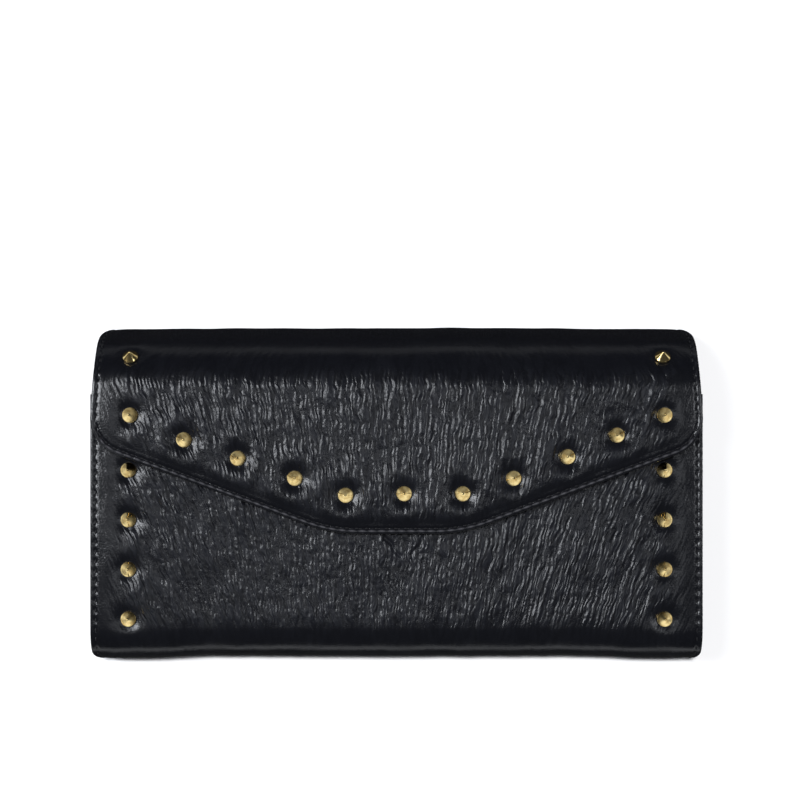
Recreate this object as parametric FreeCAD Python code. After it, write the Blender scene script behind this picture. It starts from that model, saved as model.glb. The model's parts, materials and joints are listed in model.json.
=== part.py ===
import FreeCAD, Part
import math
import os

# A long envelope-flap wallet that lies on its back. X runs across it, Y from the bottom fold up to
# the top fold, and Z out of the back towards the flap. The origin is under the middle of the back.
# All sizes are in millimetres.

# ---- overall ----
WIDTH = 200.0
HEIGHT = 109.0
DEPTH = 24.0  # back face to flap face, studs not counted
BOTTOM_CORNER = 2.2  # plan radius of the corners at the bottom fold
TOP_CORNER = 3.2  # plan radius of the corners at the top fold
TOP_TAPER = 1.4  # how much narrower each side is at the top fold
TAPER_FROM = 20.0
TAPER_TO = 48.0
LINING_INSET = 1.0  # how far linings stop short of the leather's edges

# ---- layers of the back, from z = 0 up ----
BACK_LEATHER = 1.4
BACK_BOARD = 0.5
BACK_LINING = 0.4
CARD_SHEET = 0.4
CARD_ROWS = 4

# ---- coin pocket and the two note compartments ----
COMPARTMENT = 4.7
POCKET_LEATHER = 0.8
POCKET_SPACE = 3.6
BAG_CLOTH = 0.3

# ---- layers of the front panel, from its face down ----
FRONT_FACE = 20.6
FRONT_LEATHER = 1.2
FRONT_PAD = 0.6
FRONT_LINING = 0.4
MOUTH_Y = 32.0  # top edge of the front panel

# ---- layers of the flap, from its face down ----
FLAP_LEATHER = 1.4
FLAP_PAD = 0.9
FLAP_LINING = 0.5

# ---- top fold: a tight bend at the back, a slope, and a wide sweep on to the flap ----
TIGHT_RADIUS = 4.0
TIGHT_TURN = 115.0
SWEEP_RADIUS = 19.0
SWEEP_TURN = 180.0 - TIGHT_TURN
SWEEP_ON_SPINE = 50.0  # how much of the sweep belongs to the spine
HINGE_GAP = 0.15  # half of the slit where two rigid stretches of leather meet

# ---- outline of the flap ----
FLAP_HALF = 99.6
FLAP_TIP = -13.6
SLANT_X = 61.5
SLANT_Y = 1.2
SLANT_ANGLE = 20.3
FLAP_CORNER = 13.0
TIP_FILLET = 50.0
PAST_TIP = 5.0  # the strip that the flap is cut from runs on this far past its tip
PAD_INSET = 4.5

# ---- studs ----
STUD_RADIUS = 2.5
STUD_RIM = 0.4
STUD_HEIGHT = 2.6
STUD_TIP = 0.25
POST_RADIUS = 0.6
POST_HOLE = 0.65
WASHER_RADIUS = 2.0
WASHER = 0.4
POST_PAST_WASHER = 0.1
WASHER_DROP = 0.12  # room for a flat washer against the curved spine
FLAP_STUDS = [
    (-86.5, 25.0),
    (-69.0, 17.0),
    (-51.5, 11.0),
    (-33.0, 4.5),
    (-16.5, -1.0),
    (2.5, -0.5),
    (21.5, -0.5),
    (38.0, 4.5),
    (55.5, 11.5),
    (71.5, 18.5),
    (87.0, 25.0),
]
SPINE_STUD_X = 86.8
SPINE_STUD_Y = 44.2
FRONT_STUD_X = 87.5
FRONT_STUD_TOP = 7.2
FRONT_STUD_PITCH = 16.2
FRONT_STUD_ROWS = 4

# ---- magnetic snap under the tip of the flap ----
SNAP_Y = 9.0
SNAP_RADIUS = 6.0
SNAP_HOLE = 6.05
SNAP_PLATE_RADIUS = 7.0
SNAP_PLATE = 0.5
SNAP_PIN = 2.0
SNAP_SOCKET = 2.6
SNAP_PIN_LENGTH = 1.4
SNAP_PROUD = 0.3

# ---- gussets: accordion sides, folded inwards twice ----
GUSSET = 0.8
GUSSET_INNER_X = 91.0
GUSSET_OUTER_X = 99.0
GUSSET_WALL_X = 98.6
GUSSET_BOTTOM = -42.0
GUSSET_TOP = 31.0
GUSSET_FROM_LINING = 0.48  # from a lining to the middle of the gusset's thickness
GUSSET_FROM_POCKET = 0.6

# ---- card rows, note compartments and coin pocket in plan ----
CARD_HALF = 88.0
CARD_BOTTOM = -42.0
CARD_TOP = 24.0
CARD_STEP = 11.0
NOTCH_X = 44.0
NOTCH_RADIUS = 9.0
NOTCH_RAISED = 5.4  # how far a thumb notch's middle stands above the row's top edge
POCKET_HALF = 97.0
POCKET_BOTTOM = -43.0
POCKET_TOP = 28.0
BAG_HALF = 96.3
BAG_BOTTOM = -42.0
BAG_TOP = 18.0

# ---- zip along the mouth of the coin pocket ----
TAPE = 0.4
TAPE_HALF = 84.0
TAPE_BOTTOM = 18.2
TAPE_TOP = 29.0
TAPE_EDGE = 0.9  # from the middle plane to the edge that holds the teeth
TOOTH_PITCH = 3.0
TOOTH_WIDTH = 1.35
TOOTH_LOW = 28.1
TOOTH_HIGH = 29.5
TOOTH_ROOT = 1.3
TOOTH_REACH = 0.4
TEETH_START = -75.5
TEETH_PAIRS = 50
STOP_LENGTH = 2.0
SLIDER_START = 70.0
SLIDER_END = 79.0
SLIDER_HALF = 2.2
SLIDER_WALL = 0.5
SLIDER_PLATE = 0.8
SLIDER_GAP = 0.15
SLIDER_LOWER_HALF = 1.2
SLIDER_WALL_INSET = 1.0
PLATE_ROUNDING = 0.6  # corner radius of the slider's plates, as a share of half their width
WEDGE_START = 76.2
WEDGE_END = 78.0
LUG_HALF_LENGTH = 2.5
LUG_HALF = 0.5
PULL_PIN_X = 74.0
PULL_PIN_ABOVE = 1.05
PULL_PIN = 0.6
PULL_PIN_HOLE = 0.65
PULL_LENGTH = 11.0
PULL_HALF = 2.2
PULL_CHEEK_IN = 0.65
PULL_CHEEK_OUT = 1.3
PULL_FORK = 2.9
PULL_FORK_ROOT = 1.0  # how far the fork's cheeks run into the pull's tab
PULL_THICK = 1.1
PULL_CORNER = 1.54
PULL_WINDOW = 1.1
PULL_WINDOW_IN = 2.64

# ---- D-rings for a chain, one in a tab at each end of the coin pocket ----
RING_X = 91.5
RING_BAR_Y = 34.2
RING_WIRE = 0.8
RING_HALF = 4.8  # middle of one arm to the middle of the ring
RING_STRAIGHT = 3.7
TAB_LEATHER = 0.8
TAB_PLAY = 0.1
TAB_HALF = 3.8
TAB_BOTTOM = 19.0
RIVET_Y = 23.5
RIVET_RADIUS = 1.0
RIVET_HOLE = 1.05
RIVET_HEAD_RADIUS = 2.0
RIVET_HEAD = 0.4

# ---- worked out from the above ----
HALF = WIDTH / 2
BOTTOM_RADIUS = FRONT_FACE / 2
BOTTOM_Y = BOTTOM_RADIUS - HEIGHT / 2  # where the bottom fold meets the flat of the back
TIGHT_Y = HEIGHT / 2 - TIGHT_RADIUS
BACK_INSIDE = BACK_LEATHER + BACK_BOARD + BACK_LINING
CARDS_TOP = BACK_INSIDE + CARD_ROWS * CARD_SHEET
POCKET_BACK = CARDS_TOP + COMPARTMENT
POCKET_MIDDLE = POCKET_BACK + POCKET_LEATHER + POCKET_SPACE / 2
POCKET_FRONT = POCKET_BACK + 2 * POCKET_LEATHER + POCKET_SPACE
FRONT_INSIDE = FRONT_FACE - FRONT_LEATHER - FRONT_PAD - FRONT_LINING
FLAP_THICK = FLAP_LEATHER + FLAP_PAD + FLAP_LINING
SWEEP_Z = DEPTH - SWEEP_RADIUS
FAR = 200.0  # longer than anything in the wallet
TOUCHING = 1e-6  # points closer than this are one point
NEARLY_UPRIGHT = 0.9  # least share of an upright edge's direction that is upright


def vec(x, y, z):
    return FreeCAD.Vector(x, y, z)


def sin_deg(angle):
    return math.sin(math.radians(angle))


def cos_deg(angle):
    return math.cos(math.radians(angle))


# ---- shape helpers ----
def slab(x0, x1, y0, y1, z0, z1):
    """A rectangular block between two corners."""
    return Part.makeBox(x1 - x0, y1 - y0, z1 - z0, vec(x0, y0, z0))


def disc(x, y, z0, z1, radius):
    """An upright cylinder."""
    return Part.makeCylinder(radius, z1 - z0, vec(x, y, z0))


def joined(solids):
    """Several solids that overlap or touch, made into one."""
    whole = solids[0]
    for solid in solids[1:]:
        whole = whole.fuse(solid)
    return whole.removeSplitter()


def group(solids):
    """Separate solids kept in one shape."""
    return Part.makeCompound(solids)


def without(shape, tools):
    """A shape with every tool cut out of it."""
    for tool in tools:
        shape = shape.cut(tool)
    return shape


def rounded_prism(corners, z0, z1):
    """An upright prism over an outline given as (x, y, corner radius), counter-clockwise."""
    count = len(corners)
    edges = []
    starts = []
    ends = []
    for i, (x, y, radius) in enumerate(corners):
        corner = vec(x, y, z0)
        before = vec(corners[i - 1][0], corners[i - 1][1], z0) - corner
        after = vec(corners[(i + 1) % count][0], corners[(i + 1) % count][1], z0) - corner
        before.normalize()
        after.normalize()
        if radius == 0:
            starts.append(corner)
            ends.append(corner)
            continue
        half_angle = before.getAngle(after) / 2
        along = radius / math.tan(half_angle)
        start = corner + before * along
        end = corner + after * along
        middle_way = before + after
        middle_way.normalize()
        middle = corner + middle_way * (radius / math.sin(half_angle) - radius)
        edges.append(Part.Arc(start, middle, end).toShape())
        starts.append(start)
        ends.append(end)
    for i in range(count):
        if (ends[i] - starts[(i + 1) % count]).Length > TOUCHING:
            edges.append(Part.makeLine(ends[i], starts[(i + 1) % count]))
    outline = Part.Wire(Part.__sortEdges__(edges))
    return Part.Face(outline).extrude(vec(0, 0, z1 - z0))


def plan(inset, z0, z1):
    """The wallet's own rounded outline as a prism, a little smaller if inset."""
    x = HALF - inset
    y = HEIGHT / 2 - inset
    top_x = x - TOP_TAPER
    low_radius = BOTTOM_CORNER - inset
    high_radius = TOP_CORNER - inset
    corners = [
        (-x, -y, low_radius),
        (x, -y, low_radius),
        (x, TAPER_FROM, 0),
        (top_x, TAPER_TO, 0),
        (top_x, y, high_radius),
        (-top_x, y, high_radius),
        (-top_x, TAPER_TO, 0),
        (-x, TAPER_FROM, 0),
    ]
    return rounded_prism(corners, z0, z1)


def flap_plan(inset, z0, z1):
    """The envelope outline of the flap as a prism, a little smaller if inset."""
    slope = math.tan(math.radians(SLANT_ANGLE))
    rise = inset / cos_deg(SLANT_ANGLE)
    side = FLAP_HALF - inset
    tip = FLAP_TIP + inset
    side_y = SLANT_Y + rise + slope * (side - SLANT_X)
    tip_x = SLANT_X + (tip - rise - SLANT_Y) / slope
    corners = [
        (-side, HEIGHT, 0),
        (-side, side_y, FLAP_CORNER - inset),
        (-tip_x, tip, TIP_FILLET - inset),
        (tip_x, tip, TIP_FILLET - inset),
        (side, side_y, FLAP_CORNER - inset),
        (side, HEIGHT, 0),
    ]
    return rounded_prism(corners, z0, z1)


def straight(length):
    return ("straight", length, 0.0)


def bend(radius, turn):
    return ("bend", radius, turn)


def at(point, x):
    return vec(x, point[0], point[1])


def face_line(start, heading, stretches, depth, x):
    """Edges of one face of a bent sheet, a given depth inside the line that the stretches make."""
    edges = []
    y, z = start
    here = (y - depth * sin_deg(heading), z + depth * cos_deg(heading))
    for kind, size, turn in stretches:
        if kind == "straight":
            there = (here[0] + size * cos_deg(heading), here[1] + size * sin_deg(heading))
            edges.append(Part.makeLine(at(here, x), at(there, x)))
            here = there
            continue
        inner = size - depth
        centre = (here[0] - inner * sin_deg(heading), here[1] + inner * cos_deg(heading))
        points = []
        for part in (0.5, 1.0):
            angle = heading + turn * part
            points.append((centre[0] + inner * sin_deg(angle), centre[1] - inner * cos_deg(angle)))
        edges.append(Part.Arc(at(here, x), at(points[0], x), at(points[1], x)).toShape())
        heading += turn
        here = points[1]
    return edges


def bent_sheet(start, heading, stretches, top, under, half_width):
    """A sheet whose faces lie top and under inside the line that the stretches make."""
    outside = face_line(start, heading, stretches, top, -half_width)
    inside = face_line(start, heading, stretches, under, -half_width)
    first = Part.makeLine(outside[0].firstVertex().Point, inside[0].firstVertex().Point)
    last = Part.makeLine(outside[-1].lastVertex().Point, inside[-1].lastVertex().Point)
    outline = Part.Wire(Part.__sortEdges__(outside + inside + [first, last]))
    return Part.Face(outline).extrude(vec(2 * half_width, 0, 0))


def walk(start, heading, stretches):
    """Where a line of stretches ends, as (point, heading)."""
    y, z = start
    for kind, size, turn in stretches:
        if kind == "straight":
            y += size * cos_deg(heading)
            z += size * sin_deg(heading)
            continue
        y += size * (sin_deg(heading + turn) - sin_deg(heading))
        z += size * (cos_deg(heading) - cos_deg(heading + turn))
        heading += turn
    return (y, z), heading


# ---- the line of the outer leather: back, tight bend, slope, sweep, flap ----
BACK_START = (BOTTOM_Y, 0.0)
HALF_TIGHT = TIGHT_TURN / 2
TIGHT_GAP = math.degrees(HINGE_GAP / TIGHT_RADIUS)
SWEEP_GAP = math.degrees(HINGE_GAP / SWEEP_RADIUS)
SLOPE_START = walk((TIGHT_Y, 0.0), 0.0, [bend(TIGHT_RADIUS, TIGHT_TURN)])[0]
SWEEP_START_Z = SWEEP_Z - SWEEP_RADIUS * cos_deg(TIGHT_TURN)
SLOPE = (SWEEP_START_Z - SLOPE_START[1]) / sin_deg(TIGHT_TURN)
BACK_LINE = [straight(TIGHT_Y - BOTTOM_Y), bend(TIGHT_RADIUS, HALF_TIGHT - TIGHT_GAP)]
SPINE_LINE = [
    bend(TIGHT_RADIUS, HALF_TIGHT - TIGHT_GAP),
    straight(SLOPE),
    bend(SWEEP_RADIUS, SWEEP_ON_SPINE - SWEEP_GAP),
]
SPINE_START = walk((TIGHT_Y, 0.0), 0.0, [bend(TIGHT_RADIUS, HALF_TIGHT + TIGHT_GAP)])
TO_CREASE = [
    bend(TIGHT_RADIUS, TIGHT_TURN),
    straight(SLOPE),
    bend(SWEEP_RADIUS, SWEEP_ON_SPINE),
]
FLAP_START = walk((TIGHT_Y, 0.0), 0.0, TO_CREASE + [bend(SWEEP_RADIUS, SWEEP_GAP)])
SWEEP_Y = walk((TIGHT_Y, 0.0), 0.0, TO_CREASE[:2])[0][0] - SWEEP_RADIUS * sin_deg(TIGHT_TURN)
FLAP_LINE = [
    bend(SWEEP_RADIUS, SWEEP_TURN - SWEEP_ON_SPINE - SWEEP_GAP),
    straight(SWEEP_Y - FLAP_TIP + PAST_TIP),
]


def stud(place, normal, through):
    """A cone on a short rim, with a post that passes through the leather and its washer."""
    rim = Part.makeCylinder(STUD_RADIUS, STUD_RIM, place, normal)
    cone = Part.makeCone(
        STUD_RADIUS, STUD_TIP, STUD_HEIGHT - STUD_RIM, place + normal * STUD_RIM, normal
    )
    length = through + WASHER + POST_PAST_WASHER
    post = Part.makeCylinder(POST_RADIUS, length, place - normal * length, normal)
    return joined([rim, cone, post])


def stud_hole(place, normal):
    """What a stud's post needs cleared in the layers under it."""
    return Part.makeCylinder(POST_HOLE, 2 * FLAP_THICK, place - normal * 2 * FLAP_THICK, normal)


def washer(place, normal, through):
    """The disc that a stud's post is closed over, under the leather."""
    base = place - normal * (through + WASHER)
    plate = Part.makeCylinder(WASHER_RADIUS, WASHER, base, normal)
    return plate.cut(stud_hole(place, normal))


def washer_room(place, normal, through):
    """The space a washer and the end of its post take out of the padding."""
    base = place - normal * (through + WASHER + POST_PAST_WASHER)
    return Part.makeCylinder(WASHER_RADIUS, WASHER + POST_PAST_WASHER, base, normal)


def stud_set(places, normal, through):
    """Studs, washers, post holes and washer spaces for a list of places."""
    return (
        [stud(place, normal, through) for place in places],
        [washer(place, normal, through) for place in places],
        [stud_hole(place, normal) for place in places],
        [washer_room(place, normal, through) for place in places],
    )


# ---- back, with the card rows ----
def back_nodes():
    nodes = {}
    outline = plan(0, -FAR, FAR)
    sheet = bent_sheet(BACK_START, 0.0, BACK_LINE, 0.0, BACK_LEATHER, HALF)
    nodes["back_cover"] = sheet.common(outline)
    board_top = BACK_LEATHER + BACK_BOARD
    board_end = TIGHT_Y
    nodes["back_board"] = slab(
        -HALF + PAD_INSET, HALF - PAD_INSET, BOTTOM_Y, board_end, BACK_LEATHER, board_top
    )
    inner_half = HALF - LINING_INSET
    lining = slab(-inner_half, inner_half, BOTTOM_Y, board_end, board_top, BACK_INSIDE)
    nodes["back_lining"] = lining.common(plan(LINING_INSET, -FAR, FAR))
    for row in range(CARD_ROWS):
        low = BACK_INSIDE + row * CARD_SHEET
        high = low + CARD_SHEET
        top = CARD_TOP - row * CARD_STEP
        sheet = slab(-CARD_HALF, CARD_HALF, CARD_BOTTOM, top, low, high)
        nodes[f"card_row_{row + 1}"] = without(
            sheet,
            [
                disc(side * NOTCH_X, top + NOTCH_RAISED, low, high, NOTCH_RADIUS)
                for side in (-1, 1)
            ],
        )
    return nodes


def bottom_nodes():
    """The leather that turns round under the wallet, and the lining inside the turn."""
    outline = plan(0, -FAR, FAR)
    start = (BOTTOM_Y, FRONT_FACE)
    turn = [bend(BOTTOM_RADIUS, 180.0)]
    cover = bent_sheet(start, 180.0, turn, 0.0, FRONT_LEATHER, HALF)
    lining = bent_sheet(start, 180.0, turn, BACK_LEATHER + BACK_BOARD, BACK_INSIDE, HALF - LINING_INSET)
    return {"bottom_fold": cover.common(outline), "bottom_lining": lining}


def gusset_nodes():
    """One accordion side: two pleats that point inwards, with the coin pocket's end between."""
    back = BACK_INSIDE + GUSSET_FROM_LINING
    front = FRONT_INSIDE - GUSSET_FROM_LINING
    pocket_back = POCKET_BACK - GUSSET_FROM_POCKET
    pocket_front = POCKET_FRONT + GUSSET_FROM_POCKET
    turns = [
        (GUSSET_OUTER_X, back),
        (GUSSET_INNER_X, (back + pocket_back) / 2),
        (GUSSET_WALL_X, pocket_back),
        (GUSSET_WALL_X, pocket_front),
        (GUSSET_INNER_X, (front + pocket_front) / 2),
        (GUSSET_OUTER_X, front),
    ]
    walls = []
    for (x0, z0), (x1, z1) in zip(turns, turns[1:]):
        length = math.hypot(x1 - x0, z1 - z0)
        wall = slab(0, length, 0, GUSSET_TOP - GUSSET_BOTTOM, -GUSSET / 2, GUSSET / 2)
        wall.rotate(vec(0, 0, 0), vec(0, -1, 0), math.degrees(math.atan2(z1 - z0, x1 - x0)))
        wall.translate(vec(x0, GUSSET_BOTTOM, z0))
        walls.append(wall)
    for x, z in turns[1:-1]:
        edge = Part.makeCylinder(
            GUSSET / 2, GUSSET_TOP - GUSSET_BOTTOM, vec(x, GUSSET_BOTTOM, z), vec(0, 1, 0)
        )
        walls.append(edge)
    right = joined(walls)
    return {"gusset_right": right, "gusset_left": right.mirror(vec(0, 0, 0), vec(1, 0, 0))}


# ---- spine and flap ----
def spine_nodes():
    nodes = {}
    outline = plan(0, -FAR, FAR)
    start, heading = SPINE_START
    tilt = math.degrees(math.asin((SPINE_STUD_Y - SWEEP_Y) / SWEEP_RADIUS))
    normal = vec(0, sin_deg(tilt), cos_deg(tilt))
    height = SWEEP_Z + SWEEP_RADIUS * cos_deg(tilt)
    places = [vec(side * SPINE_STUD_X, SPINE_STUD_Y, height) for side in (-1, 1)]
    studs, washers, holes, rooms = stud_set(places, normal, FLAP_LEATHER + WASHER_DROP)
    cover = bent_sheet(start, heading, SPINE_LINE, 0.0, FLAP_LEATHER, HALF)
    nodes["spine_cover"] = without(cover.common(outline), holes)
    lining = bent_sheet(start, heading, SPINE_LINE, FLAP_LEATHER, FLAP_LEATHER + FLAP_LINING, HALF)
    nodes["spine_lining"] = without(lining.common(plan(LINING_INSET, -FAR, FAR)), rooms + holes)
    nodes["spine_studs"] = group(studs)
    nodes["spine_washers"] = group(washers)
    return nodes


def flap_nodes():
    nodes = {}
    start, heading = FLAP_START
    up = vec(0, 0, 1)
    places = [vec(x, y, DEPTH) for x, y in FLAP_STUDS]
    studs, washers, holes, rooms = stud_set(places, up, FLAP_LEATHER)
    under_leather = FLAP_LEATHER + FLAP_PAD
    cover = bent_sheet(start, heading, FLAP_LINE, 0.0, FLAP_LEATHER, HALF)
    outline = flap_plan(0, -FAR, FAR).common(plan(0, -FAR, FAR))
    nodes["flap_cover"] = without(cover.common(outline), holes)
    snap_room = disc(0, SNAP_Y, 0, DEPTH - FLAP_LEATHER, SNAP_HOLE)
    plate_top = DEPTH - FLAP_LEATHER
    plate = disc(0, SNAP_Y, plate_top - SNAP_PLATE, plate_top, SNAP_PLATE_RADIUS)
    pad = bent_sheet(start, heading, FLAP_LINE, FLAP_LEATHER, under_leather, HALF)
    pad = pad.common(flap_plan(PAD_INSET, -FAR, FAR))
    nodes["flap_padding"] = without(pad, rooms + [snap_room, plate])
    lining = bent_sheet(start, heading, FLAP_LINE, under_leather, FLAP_THICK, HALF)
    outline = flap_plan(LINING_INSET, -FAR, FAR).common(plan(LINING_INSET, -FAR, FAR))
    nodes["flap_lining"] = without(lining.common(outline), [snap_room])
    nodes["flap_studs"] = group(studs)
    nodes["flap_washers"] = group(washers)
    nodes["snap_plate_upper"] = plate
    cap = disc(0, SNAP_Y, DEPTH - FLAP_THICK, plate_top - SNAP_PLATE, SNAP_RADIUS)
    pin_low = DEPTH - FLAP_THICK - SNAP_PIN_LENGTH
    pin = disc(0, SNAP_Y, pin_low, DEPTH - FLAP_THICK, SNAP_PIN)
    nodes["snap_cap"] = joined([cap, pin])
    return nodes


# ---- front panel ----
def front_nodes():
    nodes = {}
    low_y = BOTTOM_Y + 2 * HINGE_GAP
    up = vec(0, 0, 1)
    places = []
    for row in range(FRONT_STUD_ROWS):
        for side in (-1, 1):
            y = FRONT_STUD_TOP - row * FRONT_STUD_PITCH
            places.append(vec(side * FRONT_STUD_X, y, FRONT_FACE))
    studs, washers, holes, rooms = stud_set(places, up, FRONT_LEATHER)
    leather_low = FRONT_FACE - FRONT_LEATHER
    pad_low = leather_low - FRONT_PAD
    snap_room = disc(0, SNAP_Y, leather_low, FRONT_FACE, SNAP_HOLE)
    cover = slab(-HALF, HALF, low_y, MOUTH_Y, leather_low, FRONT_FACE)
    nodes["front_cover"] = without(cover, holes + [snap_room])
    plate = disc(0, SNAP_Y, leather_low - SNAP_PLATE, leather_low, SNAP_PLATE_RADIUS)
    high_y = MOUTH_Y - LINING_INSET
    pad = slab(-HALF + PAD_INSET, HALF - PAD_INSET, low_y, high_y, pad_low, leather_low)
    nodes["front_padding"] = without(pad, rooms + [plate])
    inner_half = HALF - LINING_INSET
    nodes["front_lining"] = slab(-inner_half, inner_half, low_y, high_y, FRONT_INSIDE, pad_low)
    nodes["front_studs"] = group(studs)
    nodes["front_washers"] = group(washers)
    nodes["snap_plate_lower"] = plate
    socket = disc(0, SNAP_Y, leather_low, FRONT_FACE + SNAP_PROUD, SNAP_RADIUS)
    nodes["snap_socket"] = socket.cut(disc(0, SNAP_Y, 0, FAR, SNAP_SOCKET))
    return nodes


# ---- coin pocket ----
def rivet_hole(side):
    return disc(side * RING_X, RIVET_Y, 0, FAR, RIVET_HOLE)


def pocket_nodes():
    nodes = {}
    holes = [rivet_hole(-1), rivet_hole(1)]
    for name, low in (
        ("pocket_back_panel", POCKET_BACK),
        ("pocket_front_panel", POCKET_FRONT - POCKET_LEATHER),
    ):
        high = low + POCKET_LEATHER
        panel = slab(-POCKET_HALF, POCKET_HALF, POCKET_BOTTOM, POCKET_TOP, low, high)
        nodes[name] = without(panel, holes)
    low = POCKET_BACK + POCKET_LEATHER
    high = POCKET_FRONT - POCKET_LEATHER
    bag = slab(-BAG_HALF, BAG_HALF, BAG_BOTTOM, BAG_TOP, low, high)
    inside = slab(
        -BAG_HALF + BAG_CLOTH,
        BAG_HALF - BAG_CLOTH,
        BAG_BOTTOM + BAG_CLOTH,
        BAG_TOP,
        low + BAG_CLOTH,
        high - BAG_CLOTH,
    )
    nodes["pocket_bag"] = bag.cut(inside)
    for name, side in (("left", -1), ("right", 1)):
        nodes[f"ring_tab_{name}"] = ring_tab(side)
        nodes[f"ring_{name}"] = ring(side)
    nodes["tab_rivets"] = group([rivet(-1), rivet(1)])
    return nodes


def ring_tab(side):
    """A leather strip folded round the ring's bar, its two ends riveted inside the pocket."""
    x0 = side * RING_X - TAB_HALF
    x1 = side * RING_X + TAB_HALF
    inner = RING_WIRE + TAB_PLAY
    outer = inner + TAB_LEATHER
    axis = vec(x0, RING_BAR_Y, POCKET_MIDDLE)
    roll = Part.makeCylinder(outer, x1 - x0, axis, vec(1, 0, 0))
    ends = slab(x0, x1, TAB_BOTTOM, RING_BAR_Y, POCKET_MIDDLE - outer, POCKET_MIDDLE + outer)
    eye = Part.makeCylinder(inner, x1 - x0, axis, vec(1, 0, 0))
    slot = slab(x0, x1, TAB_BOTTOM, RING_BAR_Y, POCKET_MIDDLE - inner, POCKET_MIDDLE + inner)
    return without(joined([roll, ends]), [joined([eye, slot]), rivet_hole(side)])


def rivet(side):
    """A rivet through the pocket's panels and the tab between them."""
    x = side * RING_X
    low = POCKET_BACK - RIVET_HEAD
    high = POCKET_FRONT + RIVET_HEAD
    return joined(
        [
            disc(x, RIVET_Y, low, high, RIVET_RADIUS),
            disc(x, RIVET_Y, low, POCKET_BACK, RIVET_HEAD_RADIUS),
            disc(x, RIVET_Y, POCKET_FRONT, high, RIVET_HEAD_RADIUS),
        ]
    )


def ring(side):
    """A D-ring: a straight bar in the tab, two short arms and a half circle."""
    x = side * RING_X
    z = POCKET_MIDDLE
    bar_left = vec(x - RING_HALF, RING_BAR_Y, z)
    bar_right = vec(x + RING_HALF, RING_BAR_Y, z)
    arm_top = RING_BAR_Y + RING_STRAIGHT
    parts = [
        Part.makeCylinder(RING_WIRE, 2 * RING_HALF, bar_left, vec(1, 0, 0)),
        Part.makeCylinder(RING_WIRE, RING_STRAIGHT, bar_left, vec(0, 1, 0)),
        Part.makeCylinder(RING_WIRE, RING_STRAIGHT, bar_right, vec(0, 1, 0)),
        Part.makeSphere(RING_WIRE, bar_left),
        Part.makeSphere(RING_WIRE, bar_right),
    ]
    bow = Part.makeTorus(RING_HALF, RING_WIRE, vec(x, arm_top, z), vec(0, 0, 1))
    upper = slab(x - FAR, x + FAR, arm_top, arm_top + FAR, -FAR, FAR)
    parts.append(bow.common(upper))
    return joined(parts)


# ---- zip ----
def tape(side):
    """A tape that runs up inside one panel and turns in towards the teeth."""
    wall = POCKET_MIDDLE + side * POCKET_SPACE / 2
    inner = wall - side * TAPE
    edge = POCKET_MIDDLE + side * TAPE_EDGE
    z0, z1 = sorted((wall, inner))
    upright = slab(-TAPE_HALF, TAPE_HALF, TAPE_BOTTOM, TAPE_TOP, z0, z1)
    z0, z1 = sorted((wall, edge))
    level = slab(-TAPE_HALF, TAPE_HALF, TAPE_TOP - TAPE, TAPE_TOP, z0, z1)
    return joined([upright, level])


def tooth(x, side):
    """A tooth clamped on one tape's edge, reaching past the middle plane."""
    root = POCKET_MIDDLE + side * TOOTH_ROOT
    reach = POCKET_MIDDLE - side * TOOTH_REACH
    edge = POCKET_MIDDLE + side * TAPE_EDGE
    half = TOOTH_WIDTH / 2
    z0, z1 = sorted((root, reach))
    block = slab(x - half, x + half, TOOTH_LOW, TOOTH_HIGH, z0, z1)
    z0, z1 = sorted((root, edge))
    clamp = slab(x - half, x + half, TAPE_TOP - TAPE, TAPE_TOP, z0, z1)
    return block.cut(clamp)


def stop(x, low, high):
    """A plain metal stop across the line of teeth, between two heights off the middle plane."""
    block = slab(
        x, x + STOP_LENGTH, TOOTH_LOW, TOOTH_HIGH, POCKET_MIDDLE + low, POCKET_MIDDLE + high
    )
    clamps = [
        slab(
            x,
            x + STOP_LENGTH,
            TAPE_TOP - TAPE,
            TAPE_TOP,
            POCKET_MIDDLE + min(side * TAPE_EDGE, side * TOOTH_ROOT),
            POCKET_MIDDLE + max(side * TAPE_EDGE, side * TOOTH_ROOT),
        )
        for side in (-1, 1)
    ]
    return without(block, clamps)


def slider():
    """Two plates joined by a wedge, with a lug on top for the pull."""
    z = POCKET_MIDDLE
    under = TOOTH_HIGH + SLIDER_GAP
    top = under + SLIDER_PLATE
    below = TOOTH_LOW - SLIDER_GAP
    bottom = below - SLIDER_PLATE
    upper = rounded_block(SLIDER_START, SLIDER_END, under, top, SLIDER_HALF)
    lower = rounded_block(SLIDER_START, SLIDER_END, bottom, below, SLIDER_LOWER_HALF)
    walls = []
    wall_start = SLIDER_START + SLIDER_WALL_INSET
    wall_end = SLIDER_END - SLIDER_WALL_INSET
    wall_low = TAPE_TOP + SLIDER_GAP
    for side in (-1, 1):
        z0, z1 = sorted((z + side * SLIDER_HALF, z + side * (SLIDER_HALF - SLIDER_WALL)))
        walls.append(slab(wall_start, wall_end, wall_low, top, z0, z1))
    wedge = slab(WEDGE_START, WEDGE_END, bottom, top, z - LUG_HALF, z + LUG_HALF)
    lug_top = top + PULL_PIN_ABOVE
    lug = slab(
        PULL_PIN_X - LUG_HALF_LENGTH,
        PULL_PIN_X + LUG_HALF_LENGTH,
        top - SLIDER_GAP,
        lug_top - PULL_PIN / 2,
        z - LUG_HALF,
        z + LUG_HALF,
    )
    eye = Part.makeCylinder(
        2 * PULL_PIN_HOLE, 2 * LUG_HALF, vec(PULL_PIN_X, lug_top, z - LUG_HALF), vec(0, 0, 1)
    )
    hole = Part.makeCylinder(
        PULL_PIN_HOLE, 4 * LUG_HALF, vec(PULL_PIN_X, lug_top, z - 2 * LUG_HALF), vec(0, 0, 1)
    )
    return joined([upper, lower, *walls, wedge, lug, eye]).cut(hole)


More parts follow.
